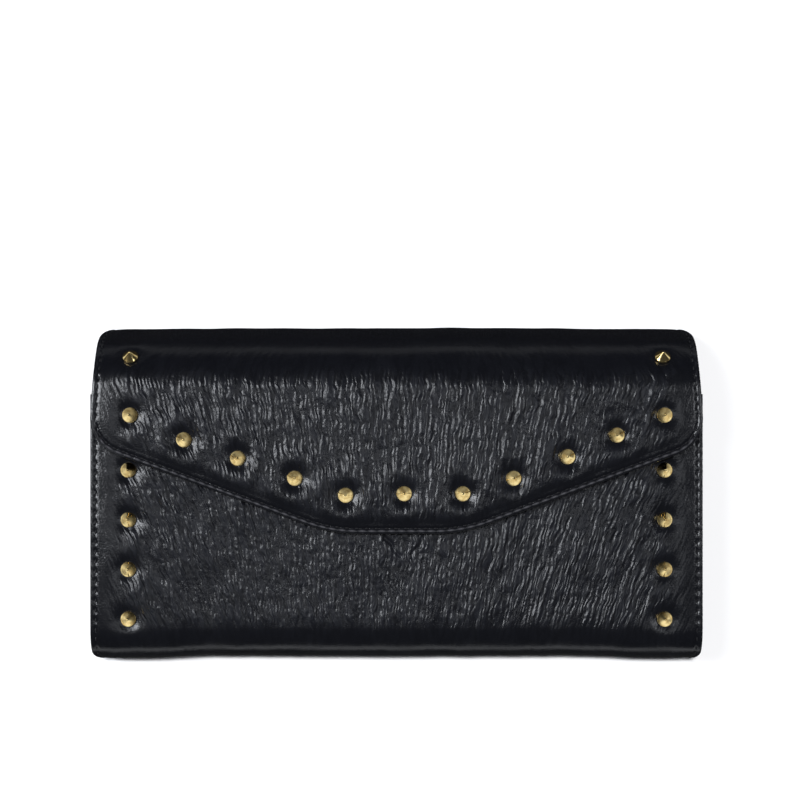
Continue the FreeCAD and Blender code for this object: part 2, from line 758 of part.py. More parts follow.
def rounded_block(x0, x1, y0, y1, half):
    """A block along the zip with its upright corners rounded."""
    block = slab(x0, x1, y0, y1, POCKET_MIDDLE - half, POCKET_MIDDLE + half)
    upright = [edge for edge in block.Edges if abs(edge.tangentAt(0).y) > NEARLY_UPRIGHT]
    return block.makeFillet(half * PLATE_ROUNDING, upright)


def pull():
    """A fork round the slider's lug, its pin, and the tab that fingers hold."""
    z = POCKET_MIDDLE
    pin_y = TOOTH_HIGH + SLIDER_GAP + SLIDER_PLATE + PULL_PIN_ABOVE
    low = pin_y - PULL_THICK / 2
    high = pin_y + PULL_THICK / 2
    far = PULL_PIN_X - PULL_LENGTH
    near = PULL_PIN_X - PULL_FORK
    cheeks = []
    for side in (-1, 1):
        z0, z1 = sorted((z + side * PULL_CHEEK_IN, z + side * PULL_CHEEK_OUT))
        cheeks.append(slab(near - PULL_FORK_ROOT, PULL_PIN_X, low, high, z0, z1))
        cheeks.append(
            Part.makeCylinder(PULL_THICK / 2, z1 - z0, vec(PULL_PIN_X, pin_y, z0), vec(0, 0, 1))
        )
    tab = slab(far, near, low, high, z - PULL_HALF, z + PULL_HALF)
    upright = [edge for edge in tab.Edges if abs(edge.tangentAt(0).y) > NEARLY_UPRIGHT]
    tab = tab.makeFillet(PULL_CORNER, upright)
    window = Part.makeCylinder(
        PULL_WINDOW, 2 * PULL_THICK, vec(far + PULL_WINDOW_IN, low - PULL_THICK / 2, z), vec(0, 1, 0)
    )
    pin = Part.makeCylinder(
        PULL_PIN, 2 * PULL_CHEEK_OUT, vec(PULL_PIN_X, pin_y, z - PULL_CHEEK_OUT), vec(0, 0, 1)
    )
    return joined([tab.cut(window), *cheeks, pin])


def zip_nodes():
    teeth = []
    for number in range(TEETH_PAIRS):
        x = TEETH_START + number * TOOTH_PITCH
        teeth.append(tooth(x, -1))
        teeth.append(tooth(x + TOOTH_PITCH / 2, 1))
    last = SLIDER_END + SLIDER_GAP
    first = TEETH_START - TOOTH_WIDTH - STOP_LENGTH
    return {
        "zip_tape_back": tape(-1),
        "zip_tape_front": tape(1),
        "zip_teeth": group(teeth),
        "zip_end_stop": stop(first, -TOOTH_ROOT, TOOTH_ROOT),
        "zip_top_stops": group(
            [stop(last, -TOOTH_ROOT, -TOOTH_REACH), stop(last, TOOTH_REACH, TOOTH_ROOT)]
        ),
        "zip_slider": slider(),
        "zip_pull": pull(),
    }


def main():
    os.makedirs("parts", exist_ok=True)
    nodes = {}
    for section in (
        back_nodes,
        bottom_nodes,
        gusset_nodes,
        spine_nodes,
        flap_nodes,
        front_nodes,
        pocket_nodes,
        zip_nodes,
    ):
        nodes.update(section())
    for name, shape in nodes.items():
        shape.exportStep(f"parts/{name}.step")


main()
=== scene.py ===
import json
import math

import bpy
import numpy as np
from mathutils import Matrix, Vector


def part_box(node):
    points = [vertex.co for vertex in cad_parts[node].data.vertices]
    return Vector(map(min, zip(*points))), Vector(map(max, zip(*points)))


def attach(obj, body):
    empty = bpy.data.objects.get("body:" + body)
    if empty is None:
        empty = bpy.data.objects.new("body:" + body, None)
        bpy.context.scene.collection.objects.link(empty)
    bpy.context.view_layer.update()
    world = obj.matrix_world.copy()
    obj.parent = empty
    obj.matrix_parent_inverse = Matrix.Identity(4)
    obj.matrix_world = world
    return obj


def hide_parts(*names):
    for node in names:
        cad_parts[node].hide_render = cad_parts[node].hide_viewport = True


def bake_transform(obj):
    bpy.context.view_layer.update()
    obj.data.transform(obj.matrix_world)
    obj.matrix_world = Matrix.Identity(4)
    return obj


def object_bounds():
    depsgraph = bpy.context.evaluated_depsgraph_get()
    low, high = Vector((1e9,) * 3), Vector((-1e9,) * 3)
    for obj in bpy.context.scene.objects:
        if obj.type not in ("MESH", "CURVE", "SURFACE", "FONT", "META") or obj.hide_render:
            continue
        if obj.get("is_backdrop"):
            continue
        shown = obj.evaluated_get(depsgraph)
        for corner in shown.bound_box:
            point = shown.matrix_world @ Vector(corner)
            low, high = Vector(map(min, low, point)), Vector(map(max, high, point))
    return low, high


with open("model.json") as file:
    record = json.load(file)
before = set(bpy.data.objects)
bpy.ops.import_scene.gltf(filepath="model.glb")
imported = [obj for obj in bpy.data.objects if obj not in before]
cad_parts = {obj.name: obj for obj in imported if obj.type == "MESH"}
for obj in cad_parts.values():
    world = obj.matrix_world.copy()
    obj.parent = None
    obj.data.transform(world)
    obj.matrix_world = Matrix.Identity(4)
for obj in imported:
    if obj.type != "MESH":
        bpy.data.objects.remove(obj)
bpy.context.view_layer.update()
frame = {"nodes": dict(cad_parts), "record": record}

# Sizes below are in millimetres, and meshes are made in metres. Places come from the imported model.
MM = 0.001
TINY = 1e-9


def box(name):
    """Lowest and highest corner of a CAD node at rest, in millimetres."""
    low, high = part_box(name)
    return np.array(low) / MM, np.array(high) / MM


# ---- sizes
_, FRONT_HIGH = box("front_cover")
FLAP_LOW, FLAP_HIGH = box("flap_cover")
FOLD_LOW, _ = box("bottom_fold")
_, SPINE_HIGH = box("spine_cover")

HALF = FRONT_HIGH[0]
FRONT_FACE = FRONT_HIGH[2]
MOUTH_Y = FRONT_HIGH[1]
FLAP_FACE = FLAP_HIGH[2]
FLAP_HALF = FLAP_HIGH[0]
FLAP_TIP = FLAP_LOW[1]
TOP_Y = SPINE_HIGH[1]
BOTTOM_CORNER = 2.2
TOP_CORNER = 3.2
TOP_TAPER = 1.4  # how much narrower each side of the top fold is than the front
TAPER_FROM = 20.0
TAPER_TO = 48.0
BOTTOM_RADIUS = FRONT_FACE / 2
BOTTOM_Y = FOLD_LOW[1] + BOTTOM_RADIUS
TIGHT_RADIUS = 4.0
TIGHT_TURN = 115.0
SWEEP_RADIUS = 19.0
SWEEP_TURN = 180.0 - TIGHT_TURN
SLANT_X = 61.5
SLANT_Y = 1.2
SLANT = math.radians(20.3)
FLAP_CORNER = 13.0
TIP_FILLET = 50.0

FRONT_LEATHER = 1.2
FLAP_LEATHER = 1.4
LINING = 0.4

STITCH_INSET = 1.8
STITCH_PITCH = 3.2
STITCH_LENGTH = 2.1
THREAD = 0.3


# ---- the line of the outer leather
def rise(turn):
    """How far an arc of radius one goes along and aside while it turns, in degrees."""
    return math.sin(math.radians(turn)), 1 - math.cos(math.radians(turn))


SLOPE_RISE = FLAP_FACE - SWEEP_RADIUS * rise(SWEEP_TURN)[1] - TIGHT_RADIUS * rise(TIGHT_TURN)[1]
SLOPE = SLOPE_RISE / math.sin(math.radians(TIGHT_TURN))
TIGHT_Y = TOP_Y - TIGHT_RADIUS
SWEEP_END_Y = (
    TIGHT_Y
    + TIGHT_RADIUS * rise(TIGHT_TURN)[0]
    + SLOPE * math.cos(math.radians(TIGHT_TURN))
    - SWEEP_RADIUS * rise(SWEEP_TURN)[0]
)
STRETCHES = [
    (MOUTH_Y - BOTTOM_Y, 0.0),
    (BOTTOM_RADIUS, 180.0),
    (TIGHT_Y - BOTTOM_Y, 0.0),
    (TIGHT_RADIUS, TIGHT_TURN),
    (SLOPE, 0.0),
    (SWEEP_RADIUS, SWEEP_TURN),
    (SWEEP_END_Y - FLAP_TIP, 0.0),
]


def walk_path():
    """The start of each stretch: distance along the line, y, z and heading in degrees."""
    starts = []
    along, y, z, heading = 0.0, MOUTH_Y, FRONT_FACE, 180.0
    for size, turn in STRETCHES:
        starts.append((along, y, z, heading))
        h0 = math.radians(heading)
        if turn == 0:
            y += size * math.cos(h0)
            z += size * math.sin(h0)
            along += size
            continue
        h1 = math.radians(heading + turn)
        y += size * (math.sin(h1) - math.sin(h0))
        z += size * (math.cos(h0) - math.cos(h1))
        along += size * math.radians(turn)
        heading += turn
    return starts, along


PATH_STARTS, PATH_END = walk_path()
(_, S_FOLD, S_BACK, S_TIGHT, S_SLOPE, S_SWEEP, S_FLAP) = [start[0] for start in PATH_STARTS]
FRONT_OVERLAP = 24.2
SPLIT_FRONT = S_BACK + FRONT_OVERLAP  # where the front's leather piece ends, on the back
SPLIT_SPINE = (S_SLOPE + S_SWEEP) / 2


def on_path(s):
    """y, z and heading in radians at distances s along the outer face of the leather."""
    s = np.asarray(s, float)
    y = np.zeros_like(s)
    z = np.zeros_like(s)
    heading = np.zeros_like(s)
    for number, ((size, turn), (along, y0, z0, h0)) in enumerate(zip(STRETCHES, PATH_STARTS)):
        here = s >= along if number else np.ones(s.shape, bool)
        run = s - along
        h = math.radians(h0)
        if turn == 0:
            y = np.where(here, y0 + run * math.cos(h), y)
            z = np.where(here, z0 + run * math.sin(h), z)
            heading = np.where(here, h, heading)
            continue
        angle = h + run / size
        y = np.where(here, y0 + size * (np.sin(angle) - math.sin(h)), y)
        z = np.where(here, z0 + size * (math.cos(h) - np.cos(angle)), z)
        heading = np.where(here, angle, heading)
    return y, z, heading


def place_outside(x, s, offset):
    """Points of the outer leather: offset is how far they stand out of the line of its face."""
    y, z, heading = on_path(s)
    return np.stack([x, y + offset * np.sin(heading), z - offset * np.cos(heading)], -1)


def smooth(t):
    t = np.clip(t, 0, 1)
    return t * t * (3 - 2 * t)


def step(value, start, width):
    """0 up to start, 1 from start + width on, and a smooth rise in between."""
    return smooth((value - start) / width)


def half_width(s):
    """Half the leather's width, with the rounded plan corners at the bottom fold and top fold."""
    y, _, _ = on_path(s)
    low = np.clip(-y - (TOP_Y - BOTTOM_CORNER), 0, BOTTOM_CORNER)
    high = np.clip(y - (TOP_Y - TOP_CORNER), 0, TOP_CORNER)
    cut = BOTTOM_CORNER - np.sqrt(BOTTOM_CORNER**2 - low**2)
    cut += TOP_CORNER - np.sqrt(TOP_CORNER**2 - high**2)
    on_flap = step(s, S_SLOPE, S_FLAP - S_SLOPE)
    behind = step(s, S_BACK, S_TIGHT - S_BACK)
    taper = TOP_TAPER * step(y, TAPER_FROM, TAPER_TO - TAPER_FROM) * behind
    return HALF - (HALF - FLAP_HALF) * on_flap - taper - cut


# ---- the flap's outline
COS, SIN, TAN = math.cos(SLANT), math.sin(SLANT), math.tan(SLANT)
SIDE_MEETS = SLANT_Y + TAN * (FLAP_HALF - SLANT_X)
CORNER_X = FLAP_HALF - FLAP_CORNER
CORNER_Y = SIDE_MEETS + FLAP_CORNER * math.tan((math.pi / 2 - SLANT) / 2)
TIP_X = SLANT_X + (FLAP_TIP - SLANT_Y) / TAN - TIP_FILLET * math.tan(SLANT / 2)
TIP_Y = FLAP_TIP + TIP_FILLET
TIP_END = np.array([TIP_X + TIP_FILLET * SIN, TIP_Y - TIP_FILLET * COS])
CORNER_START = np.array([CORNER_X + FLAP_CORNER * SIN, CORNER_Y - FLAP_CORNER * COS])
SLANT_LENGTH = float(np.hypot(*(CORNER_START - TIP_END)))

# radii of the stitch line, and distances along it from the middle of the tip
TIP_SEAM = TIP_FILLET - STITCH_INSET
CORNER_SEAM = FLAP_CORNER - STITCH_INSET
TO_SLANT = TIP_X + TIP_SEAM * SLANT
TO_CORNER = TO_SLANT + SLANT_LENGTH
TO_SIDE = TO_CORNER + CORNER_SEAM * (math.pi / 2 - SLANT)


def flap_edge(x):
    """y of the flap's lower edge at x, measured on the flat."""
    ax = np.minimum(np.abs(x), FLAP_HALF)
    corner = CORNER_Y - np.sqrt(np.maximum(FLAP_CORNER**2 - (ax - CORNER_X) ** 2, 0))
    slant = SLANT_Y + TAN * (ax - SLANT_X)
    tip = TIP_Y - np.sqrt(TIP_FILLET**2 - np.clip(ax - TIP_X, 0, TIP_FILLET) ** 2)
    return np.where(ax > CORNER_START[0], corner, np.where(ax > TIP_END[0], slant, tip))


def on_flat(value):
    """y on the flat flap for a distance along the leather, and that distance for such a y."""
    return FLAP_TIP + PATH_END - value


def outline(x, s):
    """Distance in from the leather's edge, and distance along its stitch line from the tip."""
    ax = np.abs(x)
    v = on_flat(s)
    from_side = half_width(s) - ax
    from_slant = (v - SLANT_Y) * COS - (ax - SLANT_X) * SIN
    from_tip = v - FLAP_TIP
    in_corner = (v < CORNER_Y) & ((ax - CORNER_X) * COS + (v - CORNER_Y) * SIN > 0)
    in_tip = (ax > TIP_X) & ((ax - TIP_X) * COS + (v - TIP_Y) * SIN < 0) & (v < TIP_Y)
    gap = np.minimum(np.minimum(from_side, from_slant), from_tip)
    gap = np.where(in_corner, FLAP_CORNER - np.hypot(ax - CORNER_X, v - CORNER_Y), gap)
    tip_gap = TIP_FILLET - np.hypot(ax - TIP_X, v - TIP_Y)
    gap = np.where(in_tip, np.minimum(tip_gap, from_side), gap)
    tip_turn = np.arctan2(ax - TIP_X, np.maximum(TIP_Y - v, TINY))
    corner_turn = np.arctan2(v - CORNER_Y, ax - CORNER_X) + math.pi / 2 - SLANT
    on_slant = TO_SLANT + (ax - TIP_END[0]) * COS + (v - TIP_END[1]) * SIN
    along = np.where(from_side <= from_slant, TO_SIDE + v - CORNER_Y, on_slant)
    along = np.where((ax <= TIP_X) & (v < TIP_Y) & (from_tip < from_side), ax, along)
    along = np.where(in_tip, TIP_X + TIP_SEAM * tip_turn, along)
    along = np.where(in_corner, TO_CORNER + CORNER_SEAM * corner_turn, along)
    return gap, along


def stitch_spots(first_s, last_s):
    """(x, s, direction) of the stitches between two places along the leather, on both sides."""
    spots = []
    count = int((TO_SIDE + on_flat(first_s) - CORNER_Y) / STITCH_PITCH)
    for number in range(count + 1):
        run = number * STITCH_PITCH
        if run < TIP_X:
            x, v, turn = run, FLAP_TIP + STITCH_INSET, 0.0
        elif run < TO_SLANT:
            turn = (run - TIP_X) / TIP_SEAM
            x = TIP_X + TIP_SEAM * math.sin(turn)
            v = TIP_Y - TIP_SEAM * math.cos(turn)
        elif run < TO_CORNER:
            turn = SLANT
            x = TIP_END[0] - STITCH_INSET * SIN + (run - TO_SLANT) * COS
            v = TIP_END[1] + STITCH_INSET * COS + (run - TO_SLANT) * SIN
        elif run < TO_SIDE:
            turn = SLANT + (run - TO_CORNER) / CORNER_SEAM
            x = CORNER_X + CORNER_SEAM * math.sin(turn)
            v = CORNER_Y - CORNER_SEAM * math.cos(turn)
        else:
            turn = math.pi / 2
            v = CORNER_Y + run - TO_SIDE
            x = float(half_width(on_flat(v))) - STITCH_INSET
        s = on_flat(v)
        if first_s <= s < last_s:
            spots.append((x, s, -turn))
            if x > STITCH_PITCH / 2:
                spots.append((-x, s, turn))
    return spots


# ---- shapes of surfaces
NOISE_SIZE = 128  # bumps before the noise repeats


def noise(u, v, seed):
    """Smooth noise between -1 and 1 over a plane, about one bump to a unit."""
    table = np.random.default_rng(seed).uniform(-1, 1, (NOISE_SIZE, NOISE_SIZE))
    iu = np.floor(u).astype(int)
    iv = np.floor(v).astype(int)
    fu = u - iu
    fv = v - iv
    fu = fu**3 * (fu * (fu * 6 - 15) + 10)
    fv = fv**3 * (fv * (fv * 6 - 15) + 10)
    iu, next_u, iv, next_v = (place % NOISE_SIZE for place in (iu, iu + 1, iv, iv + 1))
    low = table[iu, iv] * (1 - fu) + table[next_u, iv] * fu
    high = table[iu, next_v] * (1 - fu) + table[next_u, next_v] * fu
    return low * (1 - fv) + high * fv


def waves(rows, u, v):
    """Sum of noises, one to a row of height, width along u, length along v, two shifts and a seed."""
    level = 0.0
    for height, width, length, shift_u, shift_v, seed in rows:
        level = level + height * noise(u / width + shift_u, v / length + shift_v, seed)
    return level


def ridge(distance, middle, width):
    """1 at a distance of middle, and falling to 0 on both sides of it."""
    return np.exp(-(((distance - middle) / width) ** 2))


def edge_round(gap, thickness):
    """How far a rounded edge drops below the face, by distance in from the edge."""
    radius = thickness / 2
    t = np.clip(1 - gap / radius, 0, 1)
    return radius * (1 - np.sqrt(np.clip(1 - t * t, 0, 1)))


def pucker(along):
    """1 where the thread pulls the leather down at each end of a stitch, and 0 in between."""
    return 0.5 + 0.5 * np.cos(2 * math.pi * along / STITCH_PITCH)


def rows_between(start, end, spacing):
    return np.linspace(start, end, max(int(round(abs(end - start) / spacing)), 1) + 1)


def leather_rows(parts):
    """Distances along the leather from stretches (start, end, spacing) that follow each other."""
    rows = [rows_between(*part)[1 if number else 0 :] for number, part in enumerate(parts)]
    return np.concatenate(rows)


def framed_grid(across, down):
    """Grid of two coordinates, and how far each of its points is in from the border."""
    x, s = np.meshgrid(across, down)
    gap = np.minimum(np.minimum(x - across[0], across[-1] - x), np.minimum(s - down[0], down[-1] - s))
    return x, s, gap


# ---- meshes
COARSENING = 4  # fine rows or columns to one on a sheet's hidden side
UNDER_INSET = 0.6  # how far the hidden side is pulled in, as a share of the thickness


def put(name, data, place=(0, 0, 0)):
    """A new object in the scene."""
    thing = bpy.data.objects.new(name, data)
    thing.location = place
    bpy.context.scene.collection.objects.link(thing)
    return thing


def make_mesh(name, points, faces, material, grain=None, values=None, normals=None):
    """A smooth-shaded mesh object from points in millimetres."""
    mesh = bpy.data.meshes.new(name)
    mesh.from_pydata((np.asarray(points) * MM).tolist(), [], faces)
    mesh.update()
    mesh.shade_smooth()
    corners = np.zeros(len(mesh.loops), int)
    mesh.loops.foreach_get("vertex_index", corners)
    if grain is None:
        grain = np.asarray(points)[:, :2]
    layer = mesh.uv_layers.new(name="grain")
    layer.data.foreach_set("uv", (np.asarray(grain)[corners] * MM).astype(np.float32).ravel())
    for label, value in (values or {}).items():
        attribute = mesh.attributes.new(label, "FLOAT", "POINT")
        attribute.data.foreach_set("value", np.asarray(value, np.float32))
    if normals is not None:
        mesh.normals_split_custom_set_from_vertices(np.asarray(normals).tolist())
    mesh.materials.append(material)
    return put(name, mesh)


def frame_loop(rows, cols):
    """The places round the border of a grid, in order."""
    loop = [(rows[0], c) for c in cols]
    loop += [(r, cols[-1]) for r in rows[1:]]
    loop += [(rows[-1], c) for c in cols[-2::-1]]
    loop += [(r, cols[0]) for r in rows[-2:0:-1]]
    return loop


def sparse(positions, near):
    """Every few of the indices, leaving out places closer than near to either end."""
    last = len(positions) - 1
    inner = [
        i
        for i in range(COARSENING, last, COARSENING)
        if min(abs(positions[i] - positions[0]), abs(positions[i] - positions[-1])) > near
    ]
    return [0, *inner, last]


def quads_of(ids):
    quads = np.stack([ids[:-1, :-1], ids[1:, :-1], ids[1:, 1:], ids[:-1, 1:]], -1)
    return quads.reshape(-1, 4).tolist()


def closed_sheet(name, x, s, offset, thickness, place, material, ends=(True, True), grain=None, values=None):
    """A sheet with thickness: a fine grid on the side that shows, a coarse one on the other.

    An end that isn't real is where the next sheet goes on. Its last row only gives the surface
    its direction there, and is left out of the mesh.
    """
    points = place(x, s, offset)
    normals = np.cross(np.gradient(points, axis=0), np.gradient(points, axis=1))
    middle = (x.shape[0] // 2, x.shape[1] // 2)
    outward = (place(x, s, offset + 1) - points)[middle]
    flip = float(np.dot(normals[middle], outward)) < 0
    if flip:
        normals = -normals
    normals /= np.maximum(np.linalg.norm(normals, axis=-1, keepdims=True), TINY)
    keep = slice(int(not ends[0]), x.shape[0] - int(not ends[1]))
    x, s, points, normals = x[keep], s[keep], points[keep], normals[keep]
    rows, cols = x.shape
    ids = np.arange(rows * cols).reshape(rows, cols)
    inset = thickness * UNDER_INSET
    some_rows = sparse(s[:, cols // 2], inset)
    some_cols = sparse(x[rows // 2], inset)
    under_x = x[np.ix_(some_rows, some_cols)].copy()
    under_s = s[np.ix_(some_rows, some_cols)].copy()
    under_x[:, 0] += inset
    under_x[:, -1] -= inset
    ahead = np.sign(s[-1, cols // 2] - s[0, cols // 2])
    under_s[0] += inset * ahead * ends[0]
    under_s[-1] -= inset * ahead * ends[1]
    under = place(under_x, under_s, np.full(under_x.shape, -thickness)).reshape(-1, 3)
    coarse = np.arange(under_x.size).reshape(under_x.shape) + rows * cols
    fine_loop = frame_loop(range(rows), range(cols))
    at = {spot: i for i, spot in enumerate(fine_loop)}
    coarse_loop = frame_loop(some_rows, some_cols)
    row_of = {r: i for i, r in enumerate(some_rows)}
    col_of = {c: i for i, c in enumerate(some_cols)}
    rims = []
    for here, there in zip(coarse_loop, coarse_loop[1:] + coarse_loop[:1]):
        start, end = at[here], at[there]
        if end < start:
            end += len(fine_loop)
        fine = [int(ids[fine_loop[i % len(fine_loop)]]) for i in range(start, end + 1)]
        below = [int(coarse[row_of[r], col_of[c]]) for r, c in (there, here)]
        rims.append(fine + below)
    faces = quads_of(ids) + quads_of(coarse.T) + rims
    if flip:
        faces = [face[::-1] for face in faces]
    uv = np.stack([x, s], -1) if grain is None else grain[keep]
    under_uv = np.stack([under_x, under_s], -1).reshape(-1, 2)
    values = {
        label: np.concatenate([value[keep].ravel(), np.zeros(under_x.size)])
        for label, value in (values or {}).items()
    }
    return make_mesh(
        name,
        np.concatenate([points.reshape(-1, 3), under]),
        faces,
        material,
        np.concatenate([uv.reshape(-1, 2), under_uv]),
        values,
        np.concatenate([normals.reshape(-1, 3), np.zeros((under_x.size, 3))]),
    )


def tube_faces(rings, sides, base):
    """Faces of a tube made of rings of points, closed at both ends."""
    faces = []
    for start in range(base, base + (rings - 1) * sides, sides):
        for i in range(sides):
            j = (i + 1) % sides
            faces.append([start + i, start + j, start + sides + j, start + sides + i])
    first = [base + i for i in range(sides)]
    return [*faces, first[::-1], [i + (rings - 1) * sides for i in first]]


def turned(name, profile, spots, material, steps):
    """One turned part repeated: profile is (radius, height), spots are (place, normal)."""
    points = []
    faces = []
    turns = np.linspace(0, 2 * math.pi, steps, endpoint=False)[:, None]
    for place, normal in spots:
        axis = np.array(normal, float)
        side = np.cross(axis, [0.0, 1.0, 0.0])
        side /= np.linalg.norm(side)
        around = side * np.cos(turns) + np.cross(axis, side) * np.sin(turns)
        faces += tube_faces(len(profile), steps, len(points))
        for radius, height in profile:
            points += list(np.array(place) + axis * height + radius * around)
    return make_mesh(name, points, faces, material)


THREAD_RINGS = 7
THREAD_SIDES = 8
THREAD_DIP = 0.55  # how far each stitch's ends go down
THREAD_END = 0.02  # how blunt they are


def stitches(name, spots, place, height, material):
    """Threads at spots (x, s, direction). height gives the level of the surface at x and s."""
    local = []
    for t in np.linspace(-1, 1, THREAD_RINGS):
        radius = THREAD * math.sqrt(max(1 - abs(t) ** 3, THREAD_END))
        for angle in np.linspace(0, 2 * math.pi, THREAD_SIDES, endpoint=False):
            up = radius * math.sin(angle) - THREAD_DIP * t * t
            local.append((t * STITCH_LENGTH / 2, radius * math.cos(angle), up))
    local = np.array(local)
    x, s, turn = (np.array(column)[:, None] for column in zip(*spots))
    px = x + local[:, 0] * np.cos(turn) - local[:, 1] * np.sin(turn)
    ps = s + local[:, 0] * np.sin(turn) + local[:, 1] * np.cos(turn)
    points = place(px, ps, height(x, s) + local[:, 2]).reshape(-1, 3)
    faces = []
    for number in range(len(spots)):
        faces += tube_faces(THREAD_RINGS, THREAD_SIDES, number * len(local))
    return make_mesh(name, points, faces, material, np.stack([px, ps], -1).reshape(-1, 2))


ISLAND_REACH = 7.0


def islands(name):
    """Middle of the box of each separate solid of a CAD node, in order of x.

    Points nearer to each other in plan than ISLAND_REACH belong to the same solid.
    """
    groups = []
    for vertex in frame["nodes"][name].data.vertices:
        point = np.array(vertex.co, float) / MM
        for group in groups:
            if np.hypot(*(point - group[0])[:2]) < ISLAND_REACH:
                group.append(point)
                break
        else:
            groups.append([point])
    middles = [(np.min(group, 0) + np.max(group, 0)) / 2 for group in groups]
    return sorted(middles, key=lambda place: (place[0], place[1]))


# ---- materials
def feed(tree, made, inputs):
    """Set the inputs of a shader node, or link them where a socket is given."""
    for key, value in inputs.items():
        if isinstance(value, bpy.types.NodeSocket):
            tree.links.new(value, made.inputs[key])
        else:
            made.inputs[key].default_value = value


def node(tree, kind, inputs=None, **settings):
    made = tree.nodes.new(kind)
    for key, value in settings.items():
        setattr(made, key, value)
    feed(tree, made, inputs or {})
    return made


def math_node(tree, operation, a, b=0.0):
    return node(tree, "ShaderNodeMath", {0: a, 1: b}, operation=operation).outputs[0]


def vector_node(tree, operation, a, b):
    return node(tree, "ShaderNodeVectorMath", {0: a, 1: b}, operation=operation).outputs[0]


def in_mm(tree, place):
    return node(tree, "ShaderNodeVectorMath", {0: place, "Scale": 1 / MM}, operation="SCALE").outputs[0]


def grain_mm(tree):
    """The piece's own surface coordinates, in millimetres."""
    return in_mm(tree, node(tree, "ShaderNodeUVMap", uv_map="grain").outputs[0])


def object_mm(tree):
    return in_mm(tree, node(tree, "ShaderNodeTexCoord").outputs["Object"])


def noise_node(tree, vector, scale, detail, roughness=0.5, output="Fac"):
    inputs = {"Vector": vector, "Scale": scale, "Detail": detail, "Roughness": roughness}
    return node(tree, "ShaderNodeTexNoise", inputs).outputs[output]


def ramp(tree, value, low, high, out_low=0.0, out_high=1.0):
    inputs = {"Value": value, 1: low, 2: high, 3: out_low, 4: out_high}
    return node(tree, "ShaderNodeMapRange", inputs, interpolation_type="SMOOTHSTEP").outputs[0]


def bump(tree, height, distance, under=None):
    """A normal bent by height, whose full range is distance in millimetres, over another normal."""
    inputs = {"Height": height, "Distance": distance * MM, "Strength": 1.0}
    if under is not None:
        inputs["Normal"] = under
    return node(tree, "ShaderNodeBump", inputs).outputs[0]


def mix_colour(tree, share, a, b):
    return node(tree, "ShaderNodeMix", {0: share, 6: a, 7: b}, data_type="RGBA").outputs[2]


def point_value(tree, label):
    return node(tree, "ShaderNodeAttribute", attribute_name=label).outputs["Fac"]


def new_material(name, look, *details):
    """A material whose shader takes the inputs that a look gives it."""
    material = bpy.data.materials.new(name)
    material.use_nodes = True
    tree = material.node_tree
    feed(tree, tree.nodes["Principled BSDF"], look(tree, *details))
    return material


# Textures below have sizes to a millimetre, across and along the grain, and heights in millimetres.
WANDER = 0.22
WANDER_REACH = (2.4, 0.0, 0.0)
WRINKLE = (1.1, 0.13, 1.0)
WRINKLE_HEIGHT = 0.6
NET = (0.42, 0.1, 1.0)
NET_SHIFT = (7.3, 7.3, 0.0)
NET_BED = 0.11
NET_HEIGHT = 0.06
PEBBLE = (1.7, 1.2, 1.0)
PEBBLE_EDGE = 0.35
PEBBLE_HEIGHT = 0.01
PATCH = 0.09
PATCHY = (0.3, 0.7)  # the part of a noise's range that counts
PATCH_SHARE = (0.55, 1.25)
POLISHED = (0.65, 1.0)  # roughness of smooth and of wrinkled leather, as a share
# painted highlight: a lighter colour along the leather's rim, in dashes between the stitches
RIM_HIGHLIGHT = (0.06, 0.06, 0.068, 1)


def furrows(tree, vector):
    """Narrow wandering valleys: 0 along their beds and 1 between them."""
    way = vector_node(tree, "ADD", vector_node(tree, "MULTIPLY", vector, NET), NET_SHIFT)
    value = noise_node(tree, way, 1.0, 1.5)
    off = math_node(tree, "ABSOLUTE", math_node(tree, "SUBTRACT", value, 0.5))
    return ramp(tree, off, 0.0, NET_BED)


def pebbles(tree, vector):
    """Small flat cells: 0 at their edges and 1 inside them."""
    cells = node(
        tree,
        "ShaderNodeTexVoronoi",
        {"Vector": vector_node(tree, "MULTIPLY", vector, PEBBLE), "Scale": 1.0},
        feature="DISTANCE_TO_EDGE",
        voronoi_dimensions="2D",
    )
    return ramp(tree, cells.outputs["Distance"], 0.0, PEBBLE_EDGE)


def leather(tree, dark, light, roughness, wrinkle, creased):
    """Soft black leather: long wavy wrinkles, a net of creases, and a fine pebble.

    Creased leather is wrinkled, and has a highlight painted along its rim, as far as the piece's own point
    values say.
    """
    mm = grain_mm(tree)
    wander = noise_node(tree, mm, WANDER, 2.0, output="Color")
    wander = vector_node(tree, "SUBTRACT", wander, (0.5, 0.5, 0.5))
    warped = vector_node(tree, "ADD", mm, vector_node(tree, "MULTIPLY", wander, WANDER_REACH))
    wrinkles = noise_node(tree, vector_node(tree, "MULTIPLY", warped, WRINKLE), 1.0, 0.5)
    net = furrows(tree, warped)
    patches = noise_node(tree, mm, PATCH, 3.0, 0.6)
    rough = ramp(tree, patches, *PATCHY, roughness - 0.03, roughness + 0.05)
    if creased:
        amount = ramp(tree, patches, *PATCHY, *PATCH_SHARE)
        amount = math_node(tree, "MULTIPLY", point_value(tree, "crease"), amount)
        wrinkles = math_node(tree, "MULTIPLY", wrinkles, amount)
        net = math_node(tree, "MULTIPLY", net, amount)
        rough = math_node(tree, "MULTIPLY", rough, ramp(tree, amount, 0.0, 0.8, *POLISHED))
    # painted shade: the colour is darker along the beds of the crease net
    colour = mix_colour(tree, net, dark, light)
    if creased:
        # painted highlight along the rim, as the piece's point values give it
        colour = mix_colour(tree, point_value(tree, "rim_highlight"), colour, RIM_HIGHLIGHT)
    normal = bump(tree, wrinkles, WRINKLE_HEIGHT * wrinkle)
    normal = bump(tree, net, NET_HEIGHT * wrinkle, normal)
    normal = bump(tree, pebbles(tree, warped), PEBBLE_HEIGHT, normal)
    return {"Base Color": colour, "Roughness": rough, "Normal": normal}


TARNISH = 0.6
SCRATCH = (0.7, 5.0, 5.0)
SCRATCH_DEPTH = 0.0015


